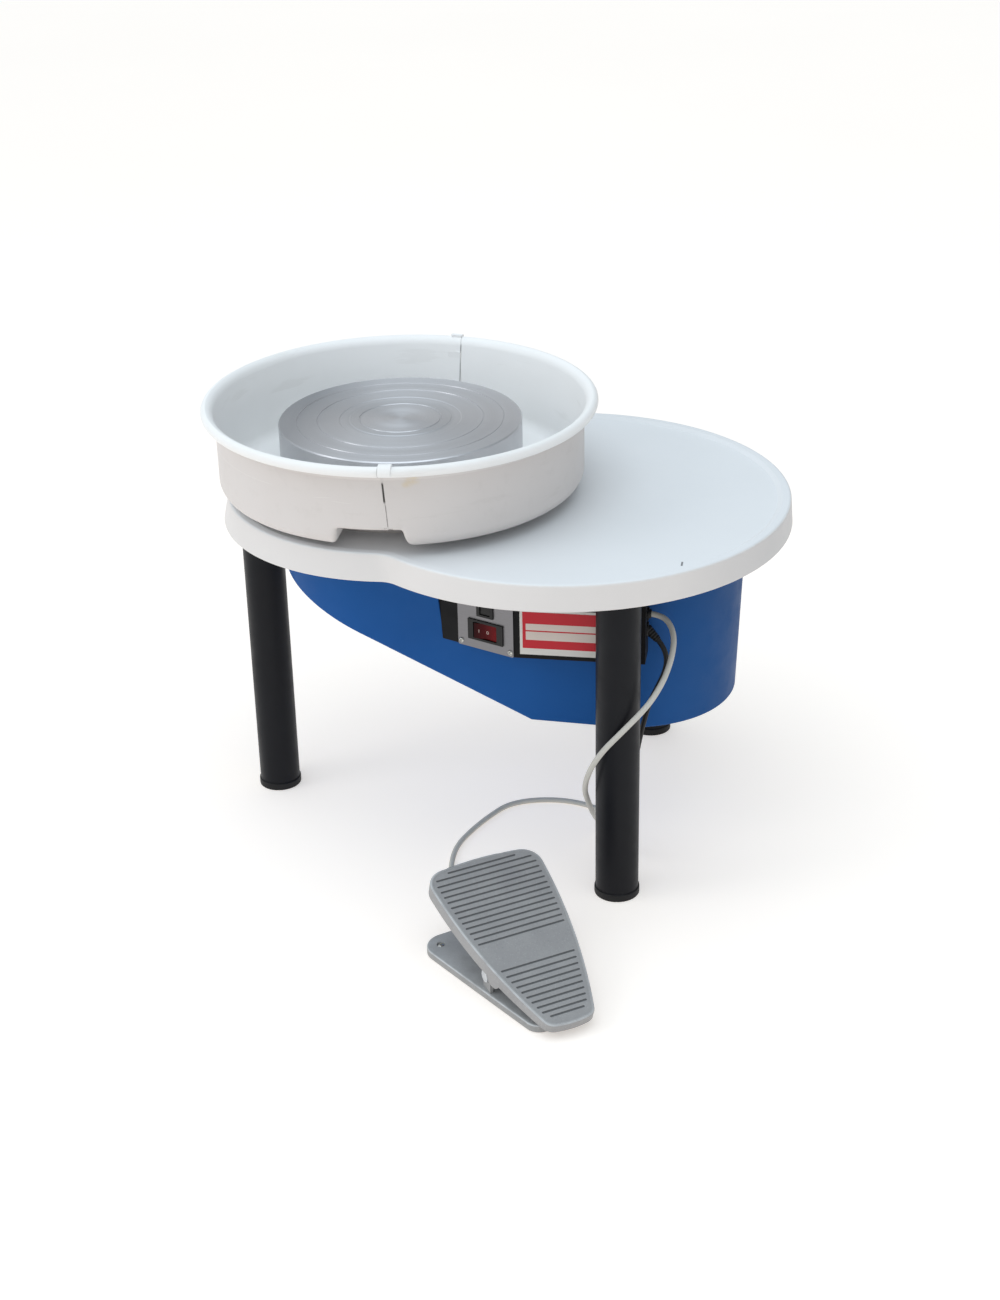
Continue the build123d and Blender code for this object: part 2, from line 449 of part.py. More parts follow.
GLAND_P = (BOX_RIGHT, -150.0, 354.5)
pedal_gland = rod(8.0, 8.0, GLAND_P, (BOX_RIGHT + 2.2, -150.0, 354.5)) + rod(6.2, 5.2, (BOX_RIGHT + 2.0, -150.0, 354.5), (BOX_RIGHT + 5.0, -150.0, 354.5))
pedal_gland += rod(4.5, 4.5, (BOX_RIGHT - 5, -150.0, 354.5), (BOX_RIGHT + 1, -150.0, 354.5))
box -= rod(4.55, 4.55, (BOX_RIGHT - 10, -150.0, 354.5), (BOX_RIGHT + 5, -150.0, 354.5))
dr = Vector(0.70, -0.10, -0.70).normalized()
g0 = Vector(BOX_RIGHT - 0.6, -151.0, 335.6)
g1 = g0 + dr * 20.0
power_gland = rod(6.4, 4.3, tuple(g0), tuple(g1)) - block(300, BOX_RIGHT, -200, -100, 300, 380)
power_gland += rod(9.0, 9.0, (BOX_RIGHT, -151.2, 334.4), (BOX_RIGHT + 2.0, -151.2, 334.4))
power_gland += rod(4.5, 4.5, (BOX_RIGHT - 5, -151.2, 334.4), (BOX_RIGHT + 1, -151.2, 334.4))
box -= rod(4.55, 4.55, (BOX_RIGHT - 10, -151.2, 334.4), (BOX_RIGHT + 5, -151.2, 334.4))

# ---------------------------------------------------------------- foot pedal
yaw, tilt = math.radians(PEDAL_YAW), math.radians(PEDAL_TILT)
along = Vector(math.cos(yaw), math.sin(yaw), 0)
PB = Plane(origin=(PEDAL_X, PEDAL_Y, 0), x_dir=along, z_dir=(0, 0, 1))
PT = Plane(origin=(PEDAL_X, PEDAL_Y, PEDAL_TOP),
           x_dir=(along.X * math.cos(tilt), along.Y * math.cos(tilt), math.sin(tilt)),
           z_dir=(-along.X * math.sin(tilt), -along.Y * math.sin(tilt), math.cos(tilt)))


def pedal_outline(u0, h0, um, hm, u1, h1, bow0, bow1, r0, r1, off=0.0):
    """Four outward arcs with rounded corners, moved inwards by off."""
    heel = circle_through((u0, -h0), (u0 + bow0, 0), (u0, h0))
    side = circle_through((u0, h0), (um, hm), (u1, h1))
    toe = circle_through((u1, h1), (u1 - bow1, 0), (u1, -h1))
    heel, side, toe = [(c[0], c[1], c[2] - off) for c in (heel, side, toe)]
    a, b = circles_meet(heel, side, (u0, h0)), circles_meet(toe, side, (u1, h1))
    mid = (um, side[1] + math.sqrt(side[2] ** 2 - (um - side[0]) ** 2))
    lo = lambda p: (p[0], -p[1])
    f = make_face([
        ThreePointArc(lo(a), (u0 + bow0 - off, 0), a),
        ThreePointArc(a, mid, b),
        ThreePointArc(b, (u1 - bow1 + off, 0), lo(b)),
        ThreePointArc(lo(b), lo(mid), lo(a)),
    ])
    f = fillet([v for v in f.vertices() if v.X > um], r0 - off)
    return fillet([v for v in f.vertices() if v.X < b[0] + 3], r1 - off)


TREAD = (-7.0, 73.8, -130.0, 62.6, -255.0, 29.7, 7.0, 4.0, 25.0, 16.0)
tread = prism(pedal_outline(*TREAD), -PEDAL_WALL, 0.0)
cut_tip = extrude(Plane.XZ * make_face(Polyline((-140, -PEDAL_WALL), (-270, -PEDAL_WALL + 6.0), (-270, -40), (-140, -40), close=True)), amount=120, both=True)
tread = fillet([e for e in tread.edges() if abs(e.center().Z) < 0.01], 2.6)
tread -= cut_tip
tread -= prism(pedal_outline(*TREAD, off=4.0), -PEDAL_WALL - 1, -4.5)
tread -= prism(pedal_outline(*TREAD, off=3.6), -1.4, 1.0)          # sunk field inside the border
pu = PIVOT_U * math.cos(tilt) + (PIVOT_Z - PEDAL_TOP) * math.sin(tilt)
pn = -PIVOT_U * math.sin(tilt) + (PIVOT_Z - PEDAL_TOP) * math.cos(tilt)
for s in (-1, 1):
    w0, w1 = sorted((s * 44.0, s * 49.6))
    lug = block(pu - 9, pu + 9, w0, w1, pn, -3.0) + rod(9.0, 9.0, (pu, w0, pn), (pu, w1, pn))
    tread += lug - rod(4.05, 4.05, (pu, w0 - 1, pn), (pu, w1 + 1, pn))
# rounded lobe hanging from each side wall, next to the pivot
skirt = prism(pedal_outline(*TREAD), -PEDAL_WALL - 12.0, -PEDAL_WALL + 4.0) - prism(pedal_outline(*TREAD, off=4.0), -PEDAL_WALL - 13.0, -PEDAL_WALL + 5.0)
tread += skirt & rod(10.0, 10.0, (pu - 17.0, -90, -PEDAL_WALL + 2.0), (pu - 17.0, 90, -PEDAL_WALL + 2.0))
treadle = PT * tread
magnet = PT * (cyl(5.0, -10.0, -4.5, pu + 4.0, 0.0))
BASE = (-4.5, 86.6, -110.0, 63.4, -222.5, 38.0, 4.0, 2.0, 26.0, 18.0)
base = prism(pedal_outline(*BASE), 1.0, 10.0)
base = fillet([e for e in base.edges() if abs(e.center().Z - 10.0) < 0.01], 1.8)
base -= prism(pedal_outline(*BASE, off=4.0), 0.0, 6.0)              # open underneath
PADS = [(-23.0, 62.5), (-23.0, -62.5), (-202.0, 22.0), (-202.0, -22.0)]
pads, pad_screws = [], []
for u, w in PADS:
    base += cyl(11.5, 1.0, 6.5, u, w)
    base -= cyl(9.05, 0.0, 3.0, u, w)
    base -= cyl(2.05, 0.0, 12.0, u, w)
    base -= cyl(5.2, 7.6, 12.0, u, w)
    pad = cyl(9.0, 0.0, 3.0, u, w) - cyl(2.05, 2.0, 4.0, u, w)
    pads.append(PB * pad)
    pad_screws.append(PB * (cyl(4.2, 7.6, 9.6, u, w) + cyl(2.0, 2.2, 8.0, u, w)))
for s in (-1, 1):
    w0, w1 = sorted((s * 50.0, s * 54.0))
    ear = block(PIVOT_U - 9, PIVOT_U + 9, w0, w1, 6.0, PIVOT_Z) + rod(9.0, 9.0, (PIVOT_U, w0, PIVOT_Z), (PIVOT_U, w1, PIVOT_Z))
    base += ear - rod(4.01, 4.01, (PIVOT_U, w0 - 1, PIVOT_Z), (PIVOT_U, w1 + 1, PIVOT_Z))
base += block(-20.0, 1.5, -10.0, 10.0, 6.0, 19.0)
base -= rod(5.05, 5.05, (-14.0, 0, 12.0), (8.0, 0, 12.0))
base -= rod(7.4, 7.4, (1.55, 0, 12.0), (12.0, 0, 12.0))
pedal_base = PB * base
pin = rod(4.0, 4.0, (PIVOT_U, -54.2, PIVOT_Z), (PIVOT_U, 54.2, PIVOT_Z))
for s in (-1, 1):
    pin += rod(7.4, 7.4, (PIVOT_U, s * 54.1, PIVOT_Z), (PIVOT_U, s * 56.8, PIVOT_Z))
pedal_pin = PB * pin
sensor = PB * (block(PIVOT_U - 16, PIVOT_U + 16, -18, 18, 10.0, 18.0) + block(PIVOT_U - 6, PIVOT_U + 6, -8, 8, 17.5, 21.0))
relief = PB * (rod(5.0, 5.0, (-13.5, 0, 12.0), (2.0, 0, 12.0)) + rod(7.2, 4.6, (1.6, 0, 12.0), (27.0, 0, 12.0)))


# ---------------------------------------------------------------- cords
def cord_tube(name, points, d):
    pts = [Vector(*p) for p in points]
    runs = [(b2 - a2).length for a2, b2 in zip(pts, pts[1:])]
    radii = []
    for i in range(1, len(pts) - 1):
        turn = math.radians((pts[i] - pts[i - 1]).get_angle(pts[i + 1] - pts[i]))
        radii.append(0.45 * min(runs[i - 1], runs[i]) / math.tan(turn / 2))
    print(name, "runs", [round(r, 1) for r in runs])
    print(name, "radii", [round(r, 1) for r in radii])
    path = FilletPolyline(*pts, radius=radii)
    start = Plane(origin=path @ 0, z_dir=path % 0)
    body = sweep(start * Circle(d / 2), path=path)
    print(name, "length", round(path.length, 1), "volume ratio", round(body.volume / (math.pi * d * d / 4 * path.length), 4))
    return body


tip_in = PB.from_local_coords(Vector(27.0, 0, 12.0))
tip_out = PB.from_local_coords(Vector(45.0, 0.0, 11.0))
PEDAL_ROUTE = [
    (331.0, -150.0, 354.5), (341.0, -151.5, 353.5), (350.0, -156.0, 350.0), (356.5, -163.5, 344.0), (360.0, -173.0, 336.0),
    (360.5, -184.5, 325.5), (357.5, -199.5, 311.5), (350.5, -217.5, 295.5), (336.5, -235.5, 275.5), (312.5, -249.0, 251.5),
    (276.0, -254.2, 210.5), (257.3, -228.9, 155.5), (257.3, -170.4, 95.5), (258.8, -104.0, 33.5), (267.0, -62.6, 3.5),
    (258.7, -32.8, 3.5), (236.4, -17.9, 3.5), (199.6, -9.9, 3.5), (160.2, -15.6, 3.5), (130.8, -31.7, 3.5), (113.1, -61.3, 3.5),
    (96.3, -96.9, 3.5), (81.6, -139.7, 3.5), (81.3, -184.8, 3.5), (90.0, -232.1, 3.5), (104.5, -264.4, 5.5),
    tuple(tip_out), tuple(tip_in),
]
pedal_cord = cord_tube("pedal_cord", PEDAL_ROUTE, PEDAL_CORD_D)

COIL_X, COIL_Y, COIL_R = 222.0, 268.0, 38.0
POWER_ROUTE = [
    tuple(g1), (345.6, -154.3, 313.6), (350.1, -156.0, 302.8), (350.6, -158.0, 290.0), (346.6, -160.3, 276.0), (339.6, -163.0, 260.5),
    (331.0, -165.5, 241.0), (325.0, -167.8, 217.0), (319.5, -168.8, 189.0), (313.5, -168.5, 152.0), (307.5, -166.0, 104.0),
    (301.5, -157.0, 58.0), (297.0, -137.0, 21.0), (294.0, -104.0, 3.3), (291.0, -58.0, 3.3), (287.0, 5.0, 3.3), (279.0, 75.0, 3.3),
    (271.5, 140.0, 3.3), (263.0, 197.0, 3.3), (261.5, 235.0, 3.6), (COIL_X + 41.25, COIL_Y, 4.45),
]
power_cord = cord_tube("power_cord", POWER_ROUTE, POWER_CORD_D)
coil = tube(COIL_R + 6.6, COIL_R - 6.6, 1.2, 20.8, COIL_X, COIL_Y)
coil = fillet(coil.edges().filter_by(GeomType.CIRCLE), 3.0)
tie_at = Pos(COIL_X, COIL_Y, 0) * Rot(0, 0, 215)
tie = tie_at * (block(COIL_R - 10.5, COIL_R + 8.6, -7, 7, 0.0, 22.0) - block(COIL_R - 9.5, COIL_R + 7.6, -8, 8, 1.0, 21.0))
py = COIL_Y + 41.25
plug = rod(4.6, 7.5, (204.0, py, 17.6), (184.0, py, 18.2)) + rod(17.5, 17.5, (172.0, py, 18.2), (156.0, py, 18.2))
plug += rod(7.4, 16.0, (185.0, py, 18.2), (171.5, py, 18.2))
for s in (-1, 1):
    plug += rod(2.4, 2.4, (157.0, py + s * 9.5, 18.2), (138.0, py + s * 9.5, 18.2))

# ---------------------------------------------------------------- export
put("table_top", table)
put("chassis_plate", chassis)
put("table_screws", *table_screws)
put("leg_sockets", *sockets)
for n, s in legs.items():
    put(f"leg_{n}", s)
put("leg_feet", *feet)
put("leg_screws", *leg_screws)
put("belt_housing", house)
put("housing_screws", *housing_screws)
put("bearing_housing", bearing_housing)
put("bearing_bolts", *bearing_bolts)
put("upper_bearing", upper_bearing)
put("lower_bearing", lower_bearing)
put("spindle", spindle)
put("wheel_head", head)
put("head_set_screws", *head_set_screws)
put("driven_pulley", driven_pulley)
put("pulley_set_screws", *pulley_set_screws)
put("drive_belt", belt)
put("motor_pulley", motor_pulley)
put("motor_shaft", motor_shaft)
put("motor_body", motor)
put("motor_bracket", bracket)
put("motor_bolts", *motor_bolts)
put("bracket_bolts", *bracket_bolts)
put("splash_pan_left", pan_left)
put("splash_pan_right", pan_right)
put("control_box", box)
put("switch_plate", plate)
put("plate_screws", *plate_screws)
put("power_switch_body", power_body)
put("power_rocker", power_rocker)
put("direction_switch_body", dir_body)
put("direction_rocker", direction_rocker)
put("nameplate", nameplate)
put("controller_board", board)
put("pedal_cord_gland", pedal_gland)
put("power_cord_relief", power_gland)
put("pedal_base", pedal_base)
put("pedal_pads", *pads)
put("pedal_pad_screws", *pad_screws)
put("pedal_pivot_pin", pedal_pin)
put("pedal_treadle", treadle)
put("pedal_sensor", sensor)
put("pedal_magnet", magnet)
put("pedal_cord_relief", relief)
put("pedal_cord", pedal_cord)
put("power_cord", power_cord)
put("power_cord_coil", coil)
put("coil_tie", tie)
put("power_plug", plug)
print("pivot in world", tuple(PB.from_local_coords(Vector(PIVOT_U, 0, PIVOT_Z)) + Vector(SHIFT_X, SHIFT_Y, 0)))
print("rocker axes", tuple(PL.from_local_coords(Vector(SW_X, SW_Z, -1.5)) + Vector(SHIFT_X, SHIFT_Y, 0)),
      tuple(PL.from_local_coords(Vector(DS_X, DS_Z, -1.5)) + Vector(SHIFT_X, SHIFT_Y, 0)))
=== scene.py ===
import json
import math
import bmesh
import bpy
from mathutils import Matrix, Vector


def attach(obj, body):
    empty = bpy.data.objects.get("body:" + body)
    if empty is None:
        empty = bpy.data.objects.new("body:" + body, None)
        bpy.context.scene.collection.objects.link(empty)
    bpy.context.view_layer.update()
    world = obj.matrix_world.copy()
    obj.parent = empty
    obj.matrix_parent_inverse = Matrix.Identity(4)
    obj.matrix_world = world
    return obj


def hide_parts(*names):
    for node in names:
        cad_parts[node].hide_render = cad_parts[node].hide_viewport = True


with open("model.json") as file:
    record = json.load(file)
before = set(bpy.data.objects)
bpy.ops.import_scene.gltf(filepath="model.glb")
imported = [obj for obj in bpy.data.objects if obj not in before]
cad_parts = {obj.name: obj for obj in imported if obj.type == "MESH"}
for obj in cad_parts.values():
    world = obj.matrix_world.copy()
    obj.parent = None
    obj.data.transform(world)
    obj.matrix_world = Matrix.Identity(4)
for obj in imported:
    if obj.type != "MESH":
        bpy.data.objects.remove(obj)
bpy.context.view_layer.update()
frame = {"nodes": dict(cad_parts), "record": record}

NODES = frame["nodes"]
SX, SY = -0.122, 0.1229          # spindle axis in the row frame, metres


def S(x, y, z):
    """Point given in millimetres from the spindle axis and the floor, in the row frame in metres."""
    return Vector((x / 1000 + SX, y / 1000 + SY, z / 1000))


# ================================================================ camera
AZ, PITCH, ROLL = 0.1678, 0.4646, -0.0222
fwd = Vector((-math.sin(AZ) * math.cos(PITCH), math.cos(AZ) * math.cos(PITCH), -math.sin(PITCH)))
right = Vector((math.cos(AZ), math.sin(AZ), 0.0))
up = right.cross(fwd)
cam_x = math.cos(ROLL) * right + math.sin(ROLL) * up
cam_y = -math.sin(ROLL) * right + math.cos(ROLL) * up
cam_data = bpy.data.cameras.new("camera")
cam_data.sensor_fit = "AUTO"
cam_data.sensor_width = 36.0
cam_data.lens = 2115.5861 / 1300 * 36.0
cam_data.shift_x = (500.0 - 497.7827) / 1300
cam_data.shift_y = (654.3902 - 650.0) / 1300
cam_data.clip_end = 200.0
cam = bpy.data.objects.new("camera", cam_data)
bpy.context.scene.collection.objects.link(cam)
m = Matrix((cam_x, cam_y, -fwd)).transposed().to_4x4()
m.translation = S(530.93, -2444.74, 1455.03)
cam.matrix_world = m
bpy.context.scene.camera = cam


# ================================================================ node helpers
def srgb(r, g, b):
    f = lambda c: (c / 255 / 12.92) if c / 255 <= 0.04045 else ((c / 255 + 0.055) / 1.055) ** 2.4
    return (f(r), f(g), f(b), 1.0)


class Mat:
    """A procedural material under construction."""

    def __init__(self, name, **sockets):
        self.mat = bpy.data.materials.new(name)
        self.mat.use_nodes = True
        self.nt = self.mat.node_tree
        self.bsdf = self.nt.nodes["Principled BSDF"]
        for k, v in sockets.items():
            self.bsdf.inputs[k.replace("_", " ")].default_value = v
        self.pos = self.new("ShaderNodeTexCoord").outputs["Object"]

    def new(self, kind, **props):
        n = self.nt.nodes.new(kind)
        for k, v in props.items():
            setattr(n, k, v)
        return n

    def feed(self, socket, value):
        if hasattr(value, "is_linked"):
            self.nt.links.new(value, socket)
        else:
            socket.default_value = value

    def stretch(self, scale, vec=None, rot=(0, 0, 0)):
        n = self.new("ShaderNodeMapping")
        self.feed(n.inputs["Vector"], vec or self.pos)
        n.inputs["Scale"].default_value = scale
        n.inputs["Rotation"].default_value = rot
        return n.outputs[0]

    def noise(self, scale, detail=3.0, rough=0.5, vec=None, dist=0.0):
        n = self.new("ShaderNodeTexNoise")
        self.feed(n.inputs["Vector"], vec or self.pos)
        n.inputs["Scale"].default_value = scale
        n.inputs["Detail"].default_value = detail
        n.inputs["Roughness"].default_value = rough
        n.inputs["Distortion"].default_value = dist
        return n.outputs[0]

    def cells(self, scale, vec=None, feature="F1"):
        n = self.new("ShaderNodeTexVoronoi", feature=feature)
        self.feed(n.inputs["Vector"], vec or self.pos)
        n.inputs["Scale"].default_value = scale
        return n.outputs["Distance"]

    def ramp(self, fac, *stops):
        n = self.new("ShaderNodeValToRGB")
        self.feed(n.inputs[0], fac)
        el = n.color_ramp.elements
        while len(el) < len(stops):
            el.new(0.5)
        for e, (p, c) in zip(el, stops):
            e.position = p
            e.color = c if isinstance(c, tuple) else (c, c, c, 1.0)
        return n.outputs[0]

    def mix(self, fac, a, b, blend="MIX"):
        n = self.new("ShaderNodeMix", data_type="RGBA", blend_type=blend)
        self.feed(n.inputs[0], fac)
        self.feed(n.inputs[6], a)
        self.feed(n.inputs[7], b)
        return n.outputs[2]

    def calc(self, op, a, b=0.0, clamp=False):
        n = self.new("ShaderNodeMath", operation=op, use_clamp=clamp)
        self.feed(n.inputs[0], a)
        self.feed(n.inputs[1], b)
        return n.outputs[0]

    def near(self, point, radius):
        """1 at a point, falling to 0 at radius."""
        d = self.new("ShaderNodeVectorMath", operation="DISTANCE")
        self.feed(d.inputs[0], self.pos)
        d.inputs[1].default_value = point
        return self.calc("SUBTRACT", 1.0, self.calc("DIVIDE", d.outputs["Value"], radius), clamp=True)

    def axis_radius(self, x, y):
        """Distance from the upright line through x, y."""
        s = self.new("ShaderNodeVectorMath", operation="SUBTRACT")
        self.feed(s.inputs[0], self.pos)
        s.inputs[1].default_value = (x, y, 0.0)
        f = self.new("ShaderNodeVectorMath", operation="MULTIPLY")
        self.feed(f.inputs[0], s.outputs[0])
        f.inputs[1].default_value = (1.0, 1.0, 0.0)
        n = self.new("ShaderNodeVectorMath", operation="LENGTH")
        self.feed(n.inputs[0], f.outputs[0])
        return n.outputs["Value"]

    def up_facing(self):
        g = self.new("ShaderNodeNewGeometry")
        s = self.new("ShaderNodeSeparateXYZ")
        self.feed(s.inputs[0], g.outputs["Normal"])
        return s.outputs["Z"]

    def height(self):
        s = self.new("ShaderNodeSeparateXYZ")
        self.feed(s.inputs[0], self.pos)
        return s.outputs["Z"]

    def part(self, axis):
        s = self.new("ShaderNodeSeparateXYZ")
        self.feed(s.inputs[0], self.pos)
        return s.outputs[axis]

    def along_dir(self, origin, direction):
        """Signed distance from origin, measured along a direction."""
        s = self.new("ShaderNodeVectorMath", operation="SUBTRACT")
        self.feed(s.inputs[0], self.pos)
        s.inputs[1].default_value = origin
        d = self.new("ShaderNodeVectorMath", operation="DOT_PRODUCT")
        self.feed(d.inputs[0], s.outputs[0])
        d.inputs[1].default_value = direction
        return d.outputs["Value"]

    def within(self, v, low, high, soft):
        """1 while v lies between low and high, with soft ends."""
        a = self.calc("DIVIDE", self.calc("SUBTRACT", v, low - soft), soft, clamp=True)
        b = self.calc("DIVIDE", self.calc("SUBTRACT", high + soft, v), soft, clamp=True)
        return self.calc("MULTIPLY", a, b)

    def color(self, v):
        self.feed(self.bsdf.inputs["Base Color"], v)

    def rough(self, v):
        self.feed(self.bsdf.inputs["Roughness"], v)

    def bump(self, h, strength, distance, normal=None):
        n = self.new("ShaderNodeBump")
        n.inputs["Strength"].default_value = strength
        n.inputs["Distance"].default_value = distance
        self.feed(n.inputs["Height"], h)
        if normal is not None:
            self.feed(n.inputs["Normal"], normal)
        self.feed(self.bsdf.inputs["Normal"], n.outputs[0])
        return n.outputs[0]


def vary(mt, a, b, scale, low=0.35, high=0.65, detail=4.0):
    return mt.mix(mt.ramp(mt.noise(scale, detail), (low, 0.0), (high, 1.0)), a, b)


# ================================================================ cords
PEDAL_ROUTE = [
    (331.0, -150.0, 354.5), (341.0, -151.5, 353.5), (350.0, -156.0, 350.0), (356.5, -163.5, 344.0), (360.0, -173.0, 336.0),
    (360.5, -184.5, 325.5), (357.5, -199.5, 311.5), (350.5, -217.5, 295.5), (336.5, -235.5, 275.5), (312.5, -249.0, 251.5),
    (276.0, -254.2, 210.5), (257.3, -228.9, 155.5), (257.3, -170.4, 95.5), (258.8, -104.0, 33.5), (267.0, -62.6, 3.5),
    (258.7, -32.8, 3.5), (236.4, -17.9, 3.5), (199.6, -9.9, 3.5), (160.2, -15.6, 3.5), (130.8, -31.7, 3.5), (113.1, -61.3, 3.5),
    (96.3, -96.9, 3.5), (81.6, -139.7, 3.5), (81.3, -184.8, 3.5), (90.0, -232.1, 3.5), (104.5, -264.4, 5.5),
    (115.628, -283.888, 11.0), (125.974, -298.617, 12.0),
]
POWER_ROUTE = [
    (339.47, -153.01, 321.53), (345.6, -154.3, 313.6), (350.1, -156.0, 302.8), (350.6, -158.0, 290.0), (346.6, -160.3, 276.0),
    (339.6, -163.0, 260.5), (331.0, -165.5, 241.0), (325.0, -167.8, 217.0), (319.5, -168.8, 189.0), (313.5, -168.5, 152.0),
    (307.5, -166.0, 104.0), (301.5, -157.0, 58.0), (297.0, -137.0, 21.0), (294.0, -104.0, 3.3), (291.0, -58.0, 3.3),
    (287.0, 5.0, 3.3), (279.0, 75.0, 3.3), (271.5, 140.0, 3.3), (263.0, 197.0, 3.3), (261.5, 235.0, 3.6),
]
COIL_X, COIL_Y = 222.0, 268.0


def ease(x, a, b):
    t = min(1.0, max(0.0, (x - a) / (b - a)))
    return t * t * (3 - 2 * t)


def coil_points():
    """Turns beside and on each other: two on the floor, then one and a half on those, then the last stretch on top."""
    pts = []
    step = 22.5
    for i in range(0, 69):
        a = i * step
        r = 41.25 - 6.5 * ease(a, 300, 360) + 6.5 * ease(a, 940, 1000)
        z = 4.45 + 6.5 * ease(a, 648, 704) + 6.5 * ease(a, 1288, 1344)
        r /= 0.75 + 0.25 * math.cos(math.radians(step))
        t = math.radians(a)
        pts.append((COIL_X + r * math.cos(t), COIL_Y + r * math.sin(t), z))
    pts += [(212.0, 309.25, 17.6), (203.0, 309.25, 17.8)]
    return pts


def cord(name, points, d):
    cu = bpy.data.curves.new(name, "CURVE")
    cu.dimensions = "3D"
    sp = cu.splines.new("NURBS")
    sp.points.add(len(points) - 1)
    for q, p in zip(sp.points, points):
        q.co = (*S(*p), 1.0)
    sp.order_u = 3
    sp.use_endpoint_u = True
    cu.resolution_u = 8
    cu.bevel_depth = d / 2000
    cu.bevel_resolution = 4
    cu.use_fill_caps = True
    o = bpy.data.objects.new(name, cu)
    bpy.context.scene.collection.objects.link(o)
    return o


pedal_cord = cord("pedal_lead", PEDAL_ROUTE, 7.0)
power_cord = cord("mains_lead", POWER_ROUTE + coil_points(), 6.5)


# ================================================================ mesh helpers
def link(name, bm, smooth=True, angle=35.0):
    me = bpy.data.meshes.new(name)
    bmesh.ops.recalc_face_normals(bm, faces=bm.faces)
    bm.to_mesh(me)
    bm.free()
    if smooth:
        me.shade_smooth()
        me.set_sharp_from_angle(angle=math.radians(angle))
    o = bpy.data.objects.new(name, me)
    bpy.context.scene.collection.objects.link(o)
    return o


def frame_matrix(origin, x, y, z):
    mt = Matrix((Vector(x).normalized(), Vector(y).normalized(), Vector(z).normalized())).transposed().to_4x4()
    mt.translation = origin
    return mt


def along(p, q):
    """A frame at p with Z towards q."""
    z = (Vector(q) - Vector(p)).normalized()
    ref = Vector((0, 0, 1)) if abs(z.z) < 0.9 else Vector((1, 0, 0))
    x = ref.cross(z).normalized()
    return frame_matrix(Vector(p), x, z.cross(x), z)


def lathe(bm, mt, profile, n=40):
    """Turns (radius, height) pairs in millimetres about the Z axis of mt; ends on the axis are closed."""
    rings = []
    for r, h in profile:
        if r < 1e-6:
            rings.append([bm.verts.new(mt @ Vector((0, 0, h / 1000)))])
        else:
            rings.append([bm.verts.new(mt @ Vector((r / 1000 * math.cos(2 * math.pi * i / n), r / 1000 * math.sin(2 * math.pi * i / n), h / 1000)))
                          for i in range(n)])
    for a, b in zip(rings, rings[1:]):
        for i in range(n):
            j = (i + 1) % n
            if len(a) == 1:
                bm.faces.new((a[0], b[i], b[j]))
            elif len(b) == 1:
                bm.faces.new((a[i], b[0], a[j]))
            else:
                bm.faces.new((a[i], b[i], b[j], a[j]))
    return rings


def plate(bm, mt, outline, z0, z1, edge=0.0, seg=2):
    """A flat piece from an outline in millimetres, its upper edge rounded by edge."""
    lo = [bm.verts.new(mt @ Vector((x / 1000, y / 1000, z0 / 1000))) for x, y in outline]
    hi = [bm.verts.new(mt @ Vector((x / 1000, y / 1000, z1 / 1000))) for x, y in outline]
    n = len(outline)
    bm.faces.new(list(reversed(lo)))
    top = bm.faces.new(hi)
    for i in range(n):
        j = (i + 1) % n
        bm.faces.new((lo[i], lo[j], hi[j], hi[i]))
    if edge > 0:
        bmesh.ops.bevel(bm, geom=list(top.edges), offset=edge / 1000, segments=seg, profile=0.6, affect="EDGES", clamp_overlap=True)


def rounded_rect(x0, x1, y0, y1, r, n=5):
    pts = []
    for cx, cy, a0 in ((x1 - r, y1 - r, 0), (x0 + r, y1 - r, 90), (x0 + r, y0 + r, 180), (x1 - r, y0 + r, 270)):
        for i in range(n + 1):
            t = math.radians(a0 + 90 * i / n)
            pts.append((cx + r * math.cos(t), cy + r * math.sin(t)))
    return pts


